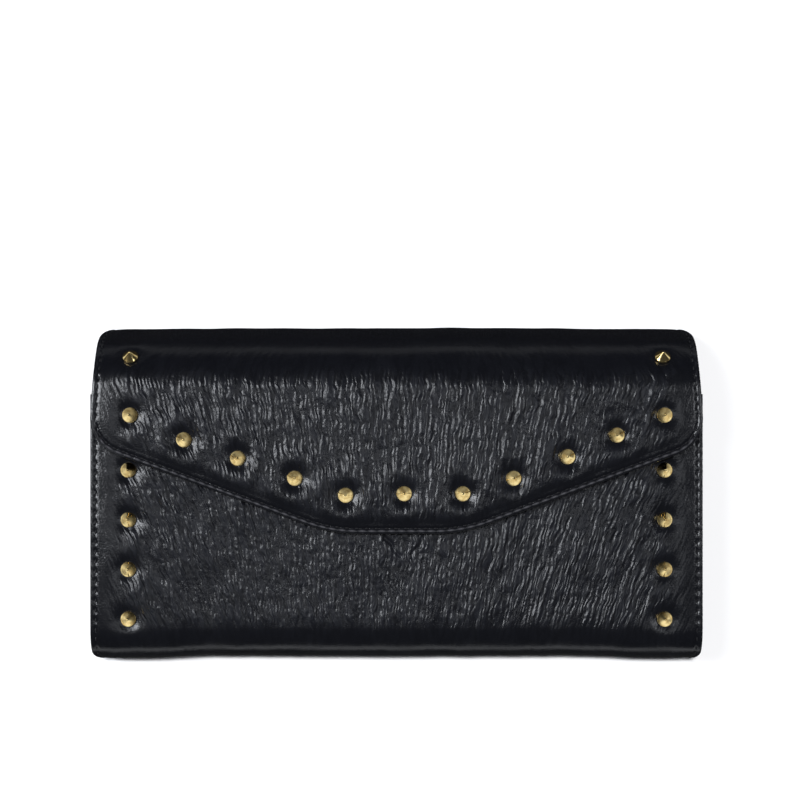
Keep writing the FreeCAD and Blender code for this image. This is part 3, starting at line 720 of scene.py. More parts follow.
def metal(tree, colour, dark, roughness):
    """Polished metal with fine scratches and slight tarnish."""
    where = object_mm(tree)
    tarnish = noise_node(tree, where, TARNISH, 3.0, 0.55)
    scratches = noise_node(tree, vector_node(tree, "MULTIPLY", where, SCRATCH), 1.0, 2.0)
    return {
        "Metallic": 1.0,
        "Base Color": mix_colour(tree, ramp(tree, tarnish, 0.35, 0.7), colour, dark),
        "Roughness": ramp(tree, tarnish, 0.3, 0.75, roughness * 0.8, roughness * 1.5),
        "Normal": bump(tree, scratches, SCRATCH_DEPTH),
    }


TWILL_TURN = math.radians(58)
WAVE_TEXTURE = 20.0  # a wave texture's bands in one turn at a scale of one
TWILL_THREAD = (6.0, 1.2, 1.0)
TWILL_WEAR = 0.05


def twill(tree, dark, light, pitch):
    """Fine diagonal twill cloth, with ribs a pitch apart."""
    mm = grain_mm(tree)
    way = node(tree, "ShaderNodeMapping", {"Vector": mm, "Rotation": (0, 0, TWILL_TURN)}).outputs[0]
    band = {"Vector": way, "Scale": 2 * math.pi / pitch / WAVE_TEXTURE, "Distortion": 0.6, "Detail": 1.0}
    ribs = node(tree, "ShaderNodeTexWave", band).outputs["Fac"]
    threads = noise_node(tree, vector_node(tree, "MULTIPLY", mm, TWILL_THREAD), 1.0, 2.0)
    wear = ramp(tree, noise_node(tree, mm, TWILL_WEAR, 3.0), *PATCHY, 0.6, 1.0)
    return {
        "Base Color": mix_colour(tree, math_node(tree, "MULTIPLY", ribs, wear), dark, light),
        "Roughness": 0.75,
        "Normal": bump(tree, threads, 0.03, bump(tree, ribs, 0.12)),
    }


PLIES = 0.9
PLY_LIGHTER = 2.2


def twisted(tree, colour):
    """Sewing thread twisted from plies."""
    band = {"Vector": grain_mm(tree), "Scale": PLIES, "Distortion": 0.5}
    plies = node(tree, "ShaderNodeTexWave", band).outputs["Fac"]
    lighter = (*(channel * PLY_LIGHTER for channel in colour[:3]), 1.0)
    return {
        "Base Color": mix_colour(tree, plies, colour, lighter),
        "Roughness": 0.6,
        "Normal": bump(tree, plies, 0.04),
    }


def fibrous(tree, dark, light, roughness, fineness):
    """Matt fibrous stuff such as felt or board."""
    fibres = noise_node(tree, object_mm(tree), fineness, 5.0, 0.65)
    return {
        "Base Color": mix_colour(tree, fibres, dark, light),
        "Roughness": roughness,
        "Normal": bump(tree, fibres, 0.08),
    }


def paper(_):
    return {"Base Color": (0.9, 0.9, 0.91, 1), "Roughness": 0.9}


FELT = new_material("padding_felt", fibrous, (0.05, 0.05, 0.052, 1), (0.16, 0.16, 0.165, 1), 0.95, 2.4)
BOARD = new_material("stiffener_board", fibrous, (0.16, 0.11, 0.07, 1), (0.3, 0.22, 0.15, 1), 0.85, 1.2)
# of each pair, the darker colour is painted shade in the beds of the creases, and the lighter one the
# leather between them
SMOOTH_BLACK = (0.0034, 0.0037, 0.0052, 1), (0.0072, 0.0079, 0.0108, 1)
MATT_BLACK = (0.008, 0.008, 0.009, 1), (0.016, 0.016, 0.018, 1)
OUTER = new_material("outer_leather", leather, *SMOOTH_BLACK, 0.28, 1.0, True)
INNER = new_material("inner_leather", leather, *MATT_BLACK, 0.48, 0.25, False)
TWILL = new_material("lining_twill", twill, (0.006, 0.006, 0.007, 1), (0.045, 0.045, 0.05, 1), 0.8)
STUD_GOLD = new_material("stud_brass", metal, (1.0, 0.79, 0.37, 1), (0.78, 0.54, 0.2, 1), 0.14)
TRIM_GOLD = new_material("trim_brass", metal, (0.95, 0.76, 0.42, 1), (0.75, 0.54, 0.26, 1), 0.24)
STEEL = new_material("hidden_steel", metal, (0.55, 0.55, 0.56, 1), (0.4, 0.4, 0.41, 1), 0.35)
THREAD_BLACK = new_material("thread", twisted, (0.004, 0.004, 0.005, 1))
THREAD_GREY = new_material("lining_thread", twisted, (0.03, 0.03, 0.032, 1))
TAPE_WEAVE = new_material("zip_tape", twill, (0.006, 0.006, 0.007, 1), (0.016, 0.016, 0.018, 1), 0.4)

# ---- studs' places
FLAP_STUDS = islands("flap_studs")
FRONT_STUDS = islands("front_studs")
SPINE_STUDS = islands("spine_studs")
STUD_MIDDLE = 0.35  # how far the middle of a stud's box stands over the leather

SPINE_STUD_Y = float(np.mean([place[1] for place in SPINE_STUDS]))
SPINE_TURN = math.asin((SPINE_STUD_Y - SWEEP_END_Y) / (SWEEP_RADIUS + STUD_MIDDLE))
S_SPINE_STUD = S_FLAP - SWEEP_RADIUS * SPINE_TURN
STUD_SEATS = (
    [(place[0], on_flat(place[1])) for place in FLAP_STUDS]
    + [(place[0], MOUTH_Y - place[1]) for place in FRONT_STUDS]
    + [(place[0], S_SPINE_STUD) for place in SPINE_STUDS]
)

# ---- relief of the outer leather
# rows of height, width, length, two shifts and a seed
LEATHER_SWELLS = ((0.16, 22, 26, 3, 7, 11), (0.10, 9, 13, 1, 2, 12))
WRINKLES = ((0.12, 3.4, 14, 0, 0, 14), (0.10, 1.5, 10, 0, 0, 15), (0.09, 1.05, 7, 0, 0, 16))
WRINKLE_BENDS = ((1.6, 12, 10, 0, 0, 13),)
WRINKLE_PATCHES = ((0.35, 18, 14, 0, 0, 17),)
FRONT_FAN = 0.005  # how fast the wrinkles spread apart down the front, and up the flap
FLAP_FAN = 0.004

SEAT_RADIUS = 2.3  # a stud's seat: flat out to here, and then rising to the swell round it
SEAT_DEPTH = 0.38
SEAT_FADE = 1.7
SEAT_SWELL = 0.32  # how far the padding swells up in a ring round each stud
SIDE_SWELL = 0.1  # the same for the studs down the sides
SWELL_REACH = 7.2
SWELL_WIDTH = 2.8
HALO_FADE = 2.6  # how soon the wrinkles begin again round a stud

SMOOTH_TOP = 33.0  # above this the flap is smooth
SMOOTH_BOTTOM = -40.0  # below this the front is smooth
SMOOTH_SIDE = 85.0
CALM = 0.75  # the share of the wrinkles that such a smooth zone takes away
FIELD = (2.5, 5.0)  # how far in from the edge the wrinkles begin, and over what distance
TIGHT_START = 6.0  # distances over which the tight stretches begin and end
TIGHT_END = 12.0

# creases in the front panel below the flap's tip, as x and y of their ends
TIP_CREASES = (((-4.4, -13.6), (1.9, -22.0)), ((9.5, -13.6), (3.9, -22.4)))
CREASE_DEPTH = 0.4
CREASE_WIDTH = 0.5
CREASE_WANDER = 0.35

TOP_BOW = 0.5  # how far the top edge bulges in the middle
BOTTOM_BOW = 0.8  # how far the bottom fold bulges towards its ends
GROOVE = (STITCH_INSET, 0.42)  # distance in from the edge, and half width
GROOVE_DEPTH = 0.16
PUCKER_DEPTH = 0.22
BEAD = (0.95, 0.4)  # the roll of leather between the stitches and the edge
BEAD_HEIGHT = 0.07
MARGIN_DROP = 0.12
MARGIN_WIDTH = 4.2
FLAT_EDGE = 0.5  # nearer than this to the edge, the relief dies away
# painted highlight along the rim: how far in from the edge and how wide, and the share kept on the front and
# down the flap's sides
RIM_HIGHLIGHT_BAND = (1.0, 0.28)
FAINT_RIM_HIGHLIGHT = 0.15


def flow(x, s):
    """Grain coordinates that follow the way the leather's wrinkles run."""
    on_front = 1 - step(s, S_FOLD, S_BACK - S_FOLD)
    on_flap = step(s, S_SWEEP, S_FLAP - S_SWEEP)
    fan = FRONT_FAN * on_front * (s - 40) - FLAP_FAN * on_flap * (PATH_END - s - 20)
    return x * (1 + fan), s


def crease_line(x, y, start, end):
    """1 on a crease between two places, falling to 0 beside it and towards its ends."""
    ahead = np.array(end) - np.array(start)
    length = float(np.hypot(*ahead))
    run = ((x - start[0]) * ahead[0] + (y - start[1]) * ahead[1]) / length
    aside = ((x - start[0]) * ahead[1] - (y - start[1]) * ahead[0]) / length
    across = ridge(aside, CREASE_WANDER * np.sin(run * 1.1), CREASE_WIDTH)
    return across * step(run, 0, 1.5) * step(length - run, 0, 2.0)


def bows(x, s, y):
    """The gentle bulges of the top fold's back edge and of the bottom fold."""
    top = TOP_BOW * (1 - (x / HALF) ** 2) * step(y, TAPER_TO, 5)
    return top + BOTTOM_BOW * (step(np.abs(x) / HALF, 0.6, 0.3) - 0.4) * step(BOTTOM_Y - y, 0, 7)


def relief(x, s):
    """How far the leather stands out of its line at each place, how creased it is, and where a highlight is
    painted along its rim.
    """
    gap, along = outline(x, s)
    front = s < S_BACK
    at_mouth = front & (s < gap)
    gap = np.where(at_mouth, s, gap)
    along = np.where(at_mouth, x, along)
    y, _, _ = on_path(s)
    u, v = flow(x, s)
    field = step(gap, *FIELD)
    tight = step(s, S_BACK, TIGHT_START) * (1 - step(s, S_SWEEP, TIGHT_END))
    calm = np.maximum(step(y, SMOOTH_TOP, 9) * ~front, step(-y, -SMOOTH_BOTTOM, 6) * front)
    calm = 1 - CALM * np.maximum(calm, step(np.abs(x), SMOOTH_SIDE, 7))
    strength = field * (1 - 0.8 * tight) * calm * (0.75 + waves(WRINKLE_PATCHES, x, s))
    level = waves(LEATHER_SWELLS, u, v) + strength * waves(WRINKLES, u + waves(WRINKLE_BENDS, u, v), v)
    for start, end in TIP_CREASES:
        level -= CREASE_DEPTH * crease_line(x, MOUTH_Y - s, start, end) * front
    halo = np.zeros_like(x)
    for seat_x, seat_s in STUD_SEATS:
        reach = np.hypot(x - seat_x, s - seat_s)
        swell = SIDE_SWELL if abs(seat_x) > SMOOTH_SIDE else SEAT_SWELL
        level += swell * ridge(reach, SWELL_REACH, SWELL_WIDTH)
        reach = np.maximum(reach, SEAT_RADIUS)
        level -= SEAT_DEPTH * ridge(reach, SEAT_RADIUS, SEAT_FADE)
        halo = np.maximum(halo, ridge(reach, SEAT_RADIUS, HALO_FADE))
    level -= ridge(gap, *GROOVE) * (GROOVE_DEPTH + PUCKER_DEPTH * pucker(along))
    level += BEAD_HEIGHT * ridge(gap, *BEAD) * (1 - 0.8 * pucker(along))
    level -= MARGIN_DROP * (1 - step(gap, STITCH_INSET, MARGIN_WIDTH)) * (gap > 0)
    level = level * step(gap, 0, FLAT_EDGE)
    level += bows(x, s, y) - edge_round(gap, np.where(front, FRONT_LEATHER, FLAP_LEATHER))
    crease = np.clip(field * (1 - 0.85 * halo) * (1 - 0.7 * tight) * calm, 0.1, 1)
    # painted highlight along the rim, strongest between the stitches where the bead of leather stands up,
    # fainter on the front and down the sides
    rim_highlight = ridge(gap, *RIM_HIGHLIGHT_BAND) * np.where(front, FAINT_RIM_HIGHLIGHT, 1.0)
    rim_highlight *= np.where(np.abs(x) > FLAP_HALF - 2 * STITCH_INSET, FAINT_RIM_HIGHLIGHT, 1.0)
    return level, {"crease": crease, "rim_highlight": rim_highlight * (1 - 0.9 * pucker(along))}


# ---- grids over the leather
def shares_across():
    """Columns across the leather, close together where the flap's corner turns."""
    turn = np.linspace(0, math.pi / 2, 27)
    corner = (CORNER_X + FLAP_CORNER * np.sin(turn)) / FLAP_HALF
    middle = np.linspace(0, CORNER_X / FLAP_HALF, 169)[:-1]
    half = np.concatenate([middle, corner])
    return np.concatenate([-half[::-1][:-1], half])


ACROSS = shares_across()
COARSE_ACROSS = ACROSS[::2]
NEAR_EDGE = np.array([0, 0.05, 0.14, 0.27, 0.45, 0.7, 0.95, 1.2, 1.42, 1.62, 1.8, 1.98, 2.2, 2.5, 2.9, 3.4])
LINING_INSET = 1.0


def strip_grid(rows, inset=0.0, across=ACROSS):
    """Grid of x and s for rows right across the leather."""
    s = np.repeat(rows[:, None], len(across), 1)
    return (half_width(s) - inset) * across[None, :], s


def flap_grid(spacing, inset=0.0, across=ACROSS):
    """Grid over the flap, whose first row lies before it and whose last ones follow its outline."""
    end = on_flat(flap_edge(across * FLAP_HALF)) - inset
    reach = end - NEAR_EDGE[-1] - SPLIT_SPINE
    rows = [np.full(len(across), SPLIT_SPINE - spacing)]
    rows += [SPLIT_SPINE + reach * share for share in rows_between(0, 1, spacing / (PATH_END - SPLIT_SPINE))]
    rows += [end - near for near in NEAR_EDGE[::-1][1:]]
    s = np.stack(rows)
    return (half_width(s) - inset) * across[None, :], s


# ---- outer leather
# of each part of the leather: its stretch, the crease where it bends, and which of its ends are real
SECTIONS = {
    "front": (0.0, SPLIT_FRONT, "front", (True, False)),
    "back": (SPLIT_FRONT, SPLIT_SPINE, "spine", (False, False)),
    "flap": (SPLIT_SPINE, PATH_END, "flap", (False, True)),
}


def bend_piece(piece):
    """Bake the piece's placement into its mesh."""
    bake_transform(piece)


def leather_piece(part, grid, thickness, *replaced):
    _, _, crease, ends = SECTIONS[part]
    x, s = grid
    level, values = relief(x, s)
    name = "leather_" + part
    grain = np.stack(flow(x, s), -1)
    piece = closed_sheet(name, x, s, level, thickness, place_outside, OUTER, ends, grain, values)
    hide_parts(*replaced)
    bend_piece(piece)


# rows are stretches of start, end and spacing, with one more row where the next piece goes on
BACK_ROWS = 2.2
front_rows = [(NEAR_EDGE[-1], S_FOLD, 0.56), (S_FOLD, S_BACK, 0.8), (S_BACK, SPLIT_FRONT, BACK_ROWS)]
front_rows = np.concatenate([NEAR_EDGE, leather_rows(front_rows)[1:], [SPLIT_FRONT + BACK_ROWS]])
leather_piece("front", strip_grid(front_rows), FRONT_LEATHER, "front_cover", "bottom_fold")
back_rows = leather_rows([(SPLIT_FRONT, S_TIGHT, 1.6), (S_TIGHT, S_SLOPE, 0.4), (S_SLOPE, SPLIT_SPINE, 0.5)])
back_rows = np.concatenate([[SPLIT_FRONT - BACK_ROWS], back_rows, [SPLIT_SPINE + 0.55]])
leather_piece("back", strip_grid(back_rows), FLAP_LEATHER, "back_cover", "spine_cover")
leather_piece("flap", flap_grid(0.55), FLAP_LEATHER, "flap_cover")

# ---- stitching of the outer leather
THREAD_LIFT = 0.12
LINING_THREAD_LIFT = 0.1


def outer_level(x, s):
    return relief(x, s)[0] + THREAD_LIFT


def lining_level(x, s):
    return lining_relief(x, s) + LINING_THREAD_LIFT


def seams(start, place, level, material, lines):
    """Rows of stitches, each with its own name, spots and crease."""
    for part, spots, crease in lines:
        bend_piece(stitches(start + part, spots, place, level, material))


mouth_reach = int((HALF - 2 * STITCH_INSET) / STITCH_PITCH)
mouth_spots = [(number * STITCH_PITCH, STITCH_INSET, 0.0) for number in range(-mouth_reach, mouth_reach + 1)]
sewn = [
    (part, stitch_spots(max(first_s, STITCH_PITCH), last_s), crease)
    for part, (first_s, last_s, crease, _) in SECTIONS.items()
]
mouth = ("mouth", mouth_spots, "front")
seams("stitching_", place_outside, outer_level, THREAD_BLACK, [sewn[0], mouth, *sewn[1:]])

# ---- studs
STUD_SIDES = 64
STUD_PROFILE = [
    *((0.55, -1.85), (0.6, -1.8), (0.6, -0.5)),  # post
    *((2.3, -0.45), (2.44, -0.4), (2.5, -0.3), (2.5, 0.28), (2.47, 0.36), (2.4, 0.42)),  # base
    *((1.9, 0.88), (1.3, 1.48), (0.75, 2.02), (0.4, 2.38)),  # cone
    *((0.25, 2.52), (0.12, 2.59), (0.03, 2.6)),  # tip
]


def studs(body, spots):
    piece = turned("cone_studs_" + body, STUD_PROFILE, spots, STUD_GOLD, STUD_SIDES)
    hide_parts(body + "_studs")
    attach(piece, body)


UP = (0.0, 0.0, 1.0)
studs("flap", [((place[0], place[1], FLAP_FACE), UP) for place in FLAP_STUDS])
studs("front", [((place[0], place[1], FRONT_FACE), UP) for place in FRONT_STUDS])
spine_y, spine_z, spine_heading = (float(value) for value in on_path(S_SPINE_STUD))
spine_normal = (0.0, math.sin(spine_heading), -math.cos(spine_heading))
studs("spine", [((place[0], spine_y, spine_z), spine_normal) for place in SPINE_STUDS])

# ---- linings of the outer leather
# how far the lining's inner face lies below the line of the leather's outer face
FRONT_LINING_DEPTH = 2.2
BACK_LINING_DEPTH = 2.3
SPINE_LINING_DEPTH = 1.9
FLAP_LINING_DEPTH = 2.8
DEPTH_RUN = 6.0  # the distance over which it changes
PADDED = (2.2, 3.6)  # where the flap's padding lifts the lining, in from the edge
LINING_WAVES = ((0.05, 14, 17, 5, 2, 21), (0.03, 5, 6, 0, 0, 22))
LINING_GROOVE = (STITCH_INSET, 0.45)
WASHER_BUMP = 0.16
WASHER_REACH = 3.6
snap_low, snap_high = box("snap_cap")
SNAP = (snap_low + snap_high) / 2
SNAP_RADIUS = snap_high[0] + 0.1
SNAP_RECESS = 0.3  # how far the lining is pulled back round the snap's cap


def lining_depth(x, s):
    gap, _ = outline(x, s)
    depth = FRONT_LINING_DEPTH + (BACK_LINING_DEPTH - FRONT_LINING_DEPTH) * step(s, S_FOLD, DEPTH_RUN)
    depth -= (BACK_LINING_DEPTH - SPINE_LINING_DEPTH) * step(s, S_TIGHT - 7, DEPTH_RUN)
    raised = (FLAP_LINING_DEPTH - SPINE_LINING_DEPTH) * step(gap, *PADDED)
    return depth + raised * step(s, S_FLAP - DEPTH_RUN, 2 * DEPTH_RUN)


def place_inside(x, s, offset):
    """Points of the lining: offset is how far they stand in from its face."""
    return place_outside(x, s, -lining_depth(x, s) - offset)


def lining_relief(x, s):
    gap, along = outline(x, s)
    level = waves(LINING_WAVES, x, s)
    for seat_x, seat_s in STUD_SEATS:
        level += WASHER_BUMP * np.exp(-((np.hypot(x - seat_x, s - seat_s) / WASHER_REACH) ** 4))
    snap_reach = np.hypot(x - SNAP[0], s - on_flat(SNAP[1]))
    level -= SNAP_RECESS * (1 - step(snap_reach, SNAP_RADIUS, 0.8))
    level -= ridge(gap, *LINING_GROOVE) * (0.04 + 0.1 * pucker(along))
    return level - edge_round(gap - LINING_INSET, LINING)


def lining_piece(part, grid, length, *replaced):
    """A lining. The length argument, its flat length measured along the line that it follows, is not used.
    """
    _, _, crease, ends = SECTIONS[part]
    x, s = grid
    name = "lining_" + part
    piece = closed_sheet(name, x, s, lining_relief(x, s), LINING, place_inside, TWILL, ends)
    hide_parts(*replaced)
    bend_piece(piece)


BACK_LINING_ROWS = 2.4
rows = leather_rows(
    [(LINING_INSET, S_FOLD, 1.6), (S_FOLD, S_BACK, 0.9), (S_BACK, SPLIT_FRONT, BACK_LINING_ROWS)]
)
near_mouth = LINING_INSET + np.array([0, 0.06, 0.15, 0.4, 0.8])
rows = np.concatenate([near_mouth, rows[1:], [SPLIT_FRONT + BACK_LINING_ROWS]])
lining_piece(
    "front",
    strip_grid(rows, LINING_INSET, COARSE_ACROSS),
    SPLIT_FRONT - LINING_INSET - math.pi * BACK_LINING_DEPTH,
    "front_lining",
    "bottom_lining",
)
rows = leather_rows([(SPLIT_FRONT, S_TIGHT, 2.2), (S_TIGHT, S_SLOPE, 0.4), (S_SLOPE, SPLIT_SPINE, 0.6)])
rows = np.concatenate([[SPLIT_FRONT - BACK_LINING_ROWS], rows, [SPLIT_SPINE + 0.6]])
lining_piece(
    "back",
    strip_grid(rows, LINING_INSET, COARSE_ACROSS),
    SPLIT_SPINE - SPLIT_FRONT - math.radians(TIGHT_TURN) * SPINE_LINING_DEPTH,
    "back_lining",
    "spine_lining",
)
lining_piece(
    "flap",
    flap_grid(1.0, LINING_INSET, COARSE_ACROSS),
    on_flat(FLAP_TIP) - LINING_INSET - SPLIT_SPINE,
    "flap_lining",
)
seams("stitching_lining_", place_inside, lining_level, THREAD_GREY, sewn)

# ---- padding between leather and lining
PADDING_INSET = 4.5
PADDING_SOFTNESS = 12.0  # how far in from its outline a pad reaches its full height
PADDING_WAVES = ((0.03, 6, 6, 0, 0, 31),)
FRONT_PADDING = 0.6
FLAP_PADDING = 0.9


def padding_piece(body, grid, depth, thickness, crown):
    """A thin felt pad: its face is depth below the leather's and crowned towards the middle."""
    x, s = grid
    gap, _ = outline(x, s)
    level = crown * (step(gap, PADDING_INSET, PADDING_SOFTNESS) - 1) + waves(PADDING_WAVES, x, s)

    def place(px, ps, offset):
        return place_outside(px, ps, offset - depth)

    piece = closed_sheet("padding_" + body, x, s, level, thickness, place, FELT)
    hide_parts(body + "_padding")
    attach(piece, body)


low, high = box("front_padding")
rows = rows_between(MOUTH_Y - high[1], MOUTH_Y - low[1], 2.0)
front_pad = np.meshgrid(np.linspace(low[0], high[0], 101), rows)
padding_piece("front", front_pad, FRONT_FACE - high[2], FRONT_PADDING, 0.08)
low, high = box("flap_padding")
edge = on_flat(flap_edge(COARSE_ACROSS * FLAP_HALF)) - PADDING_INSET
start = on_flat(high[1])
s = start + (edge[None, :] - start) * rows_between(0, 1, 0.03)[:, None]
flap_pad = (half_width(s) - PADDING_INSET) * COARSE_ACROSS[None, :], s
padding_piece("flap", flap_pad, FLAP_FACE - high[2], FLAP_PADDING, 0.1)

# ---- flat panels inside
PANEL_EDGE = np.array([0.0, 0.04, 0.1, 0.2, 0.35, 0.6, 0.95, 1.3, 1.6, 1.8, 2.0, 2.4])
PANEL_MARGIN = 3.0
PANEL_WAVES = ((0.07, 19, 15, 4, 9, 41), (0.03, 6, 7, 0, 0, 42))
PANEL_GROOVE = (STITCH_INSET, 0.4)
PANEL_GROOVE_DEPTH = 0.07
PANEL_THREAD_LIFT = 0.02
NOTCH_RADIUS = 9.0
NOTCH_RAISED = 5.4  # how far the middle of each thumb notch stands above the card row's top edge
NOTCH_PLACE = 0.5  # as a share of the row's half width


def spread(low, high, spacing, margin):
    """Places from low to high, close together within a margin at both ends."""
    near = PANEL_EDGE[PANEL_EDGE < 0.9 * margin]
    middle = rows_between(low + margin, high - margin, spacing)
    return np.concatenate([low + near, middle, (high - near)[::-1]])


def straight_top(x):
    return np.zeros_like(x)


def notched_top(x):
    """How far the top edge of a card row dips for its two thumb notches."""
    _, high = box("card_row_1")
    off = np.abs(x) - NOTCH_PLACE * high[0]
    return np.maximum(np.sqrt(np.maximum(NOTCH_RADIUS**2 - off**2, 0)) - NOTCH_RAISED, 0)


def panel_spots(low, high, top_drop, sewn_sides):
    """(x, y, direction) of the stitches along a panel's top edge and sides."""
    spots = []
    for number in range(int((high[0] - 2 * STITCH_INSET) / STITCH_PITCH) + 1):
        for side in (-1, 1) if number else (1,):
            x = side * number * STITCH_PITCH
            before, drop, after = top_drop(np.array([x - 0.5, x, x + 0.5]))
            spots.append((x, high[1] - STITCH_INSET - drop, -math.atan(after - before)))
    if sewn_sides:
        for number in range(1, int((high[1] - low[1] - 2 * STITCH_INSET) / STITCH_PITCH) + 1):
            y = high[1] - STITCH_INSET - number * STITCH_PITCH
            spots += [(side * (high[0] - STITCH_INSET), y, math.pi / 2) for side in (-1, 1)]
    return spots


def panel(name, node_name, body, facing=1, top_drop=straight_top, sewn_sides=True):
    """A leather panel over the box of its CAD node, facing up (1) or down (-1).

    top_drop gives how far its top edge dips at x.
    """
    low, high = box(node_name)
    face = high[2] if facing > 0 else low[2]
    thickness = high[2] - low[2]
    x, y = np.meshgrid(
        spread(low[0], high[0], 1.3, PANEL_MARGIN), spread(low[1], high[1], 1.5, PANEL_MARGIN)
    )
    y = y - top_drop(x) * step(y, low[1], high[1] - low[1])
    top_gap = high[1] - top_drop(x) - y
    side_gap = np.minimum(x - low[0], high[0] - x)
    sewn_gap = np.minimum(top_gap, side_gap)
    gap = np.minimum(sewn_gap, y - low[1])
    groove = ridge(sewn_gap if sewn_sides else top_gap, *PANEL_GROOVE)
    level = waves(PANEL_WAVES, x, y) - PANEL_GROOVE_DEPTH * groove
    level = level * step(gap, 0, 0.6) - edge_round(gap, thickness)

    def place(px, py, offset):
        return np.stack([px, py, face + facing * offset], -1)

    def thread_level(px, py):
        return np.full(px.shape, PANEL_THREAD_LIFT)

    piece = closed_sheet(name, x, y, level, thickness, place, INNER)
    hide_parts(node_name)
    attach(piece, body)
    spots = panel_spots(low, high, top_drop, sewn_sides)
    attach(stitches(name + "_stitching", spots, place, thread_level, THREAD_GREY), body)


for row in range(1, 5):
    panel("card_slots_%d" % row, "card_row_%d" % row, "back", top_drop=notched_top, sewn_sides=False)
panel("coin_pocket_front", "pocket_front_panel", "coin_pocket")
panel("coin_pocket_back", "pocket_back_panel", "coin_pocket", facing=-1)


# ---- sheets that follow a bent line
CORNER_STEPS = 9
SAME_PLACE = 1e-4


def bent_line(corners, radii):
    """Distance, two coordinates and their sideways direction along a line with rounded corners."""
    points = [np.array(corners[0], float)]
    for before, corner, after, radius in zip(corners, corners[1:], corners[2:], radii):
        corner = np.array(corner, float)
        into = corner - np.array(before)
        out = np.array(after) - corner
        start = corner - into / np.linalg.norm(into) * radius
        end = corner + out / np.linalg.norm(out) * radius
        for t in np.linspace(0, 1, CORNER_STEPS):
            points.append(start * (1 - t) ** 2 + corner * 2 * t * (1 - t) + end * t**2)
    points.append(np.array(corners[-1], float))
    points = np.array(points)
    steps = np.linalg.norm(np.diff(points, axis=0), axis=1)
    points = points[np.concatenate([[True], steps > SAME_PLACE])]
    run = np.concatenate([[0], np.cumsum(np.linalg.norm(np.diff(points, axis=0), axis=1))])
    ahead = np.gradient(points, run, axis=0)
    ahead /= np.linalg.norm(ahead, axis=1, keepdims=True)
    return run, points, np.stack([ahead[:, 1], -ahead[:, 0]], -1)


def on_line(line, s, offset):
    """The two coordinates at distances s along a bent line, and offset to its side."""
    run, points, sideways = line
    aside = [np.interp(s, run, sideways[:, axis]) for axis in (0, 1)]
    beyond = np.minimum(s, 0) + np.maximum(s - run[-1], 0)
    first = np.interp(s, run, points[:, 0]) + offset * aside[0] - beyond * aside[1]
    second = np.interp(s, run, points[:, 1]) + offset * aside[1] + beyond * aside[0]
    return first, second


def pocket_sheet(name, node_name, line, thickness, material, spacing, wave=0.0, seed=0):
    """A sheet of the coin pocket whose section in y and z is a bent line, over its node's width."""
    low, high = box(node_name)
    length = line[0][-1]
    x, s, gap = framed_grid(spread(low[0], high[0], spacing, 1.0), spread(0, length, 0.5, 0.8))
    level = waves(((wave, 7, 6, seed, 0, 50 + seed),), x, s) * step(gap, 0, 1) - edge_round(gap, thickness)

    def place(px, ps, offset):
        return np.stack([px, *on_line(line, ps, offset)], -1)

    piece = closed_sheet(name, x, s, level, thickness, place, material)
    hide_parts(node_name)
    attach(piece, "coin_pocket")
    return piece


TAPE = 0.4
BAG = 0.3
TAB = 0.8
back_low, back_high = box("zip_tape_back")
front_low, front_high = box("zip_tape_front")
back_tape = [(back_low[1], back_low[2]), (back_high[1], back_low[2]), (back_high[1], back_high[2])]
front_tape = [(front_high[1], front_low[2]), (front_high[1], front_high[2]), (front_low[1], front_high[2])]
for side, corners in (("back", back_tape), ("front", front_tape)):
    line = bent_line(corners, [0.5])
    pocket_sheet("tape_" + side, "zip_tape_" + side, line, TAPE, TAPE_WEAVE, 1.5)

low, high = box("pocket_bag")
corners = [(high[1], low[2]), (low[1], low[2]), (low[1], high[2]), (high[1], high[2])]
bag_line = bent_line(corners, [1.6, 1.6])
bag = pocket_sheet("coin_bag", "pocket_bag", bag_line, BAG, TWILL, 2.2, 0.02, 5)

for side in ("left", "right"):
    low, high = box("ring_tab_" + side)
    radius = (high[2] - low[2]) / 2
    middle = (high[2] + low[2]) / 2
    turns = np.linspace(-math.pi / 2, math.pi / 2, 25)
    loop = [(high[1] - radius + radius * math.cos(a), middle + radius * math.sin(a)) for a in turns]
    line = bent_line([(low[1], low[2]), *loop, (low[1], high[2])], [0.02] * len(loop))
    pocket_sheet("tab_" + side, "ring_tab_" + side, line, TAB, INNER, 0.5, 0.03, 7)

# ---- gussets
GUSSET = 0.8
GUSSET_WAVES = ((0.1, 9, 5, 2, 0, 61), (0.05, 2.6, 3.4, 0, 0, 62))
GUSSET_BEND = 0.9
POCKET_TUCK = 0.4  # how much further in the pleat round the coin pocket ends
FAN_RADIUS = 7.9
FAN_X = 98.3
pocket_low, _ = box("pocket_back_panel")
_, pocket_high = box("pocket_front_panel")
POCKET_BACK = pocket_low[2] - 0.75 * GUSSET
POCKET_FRONT = pocket_high[2] + 0.75 * GUSSET


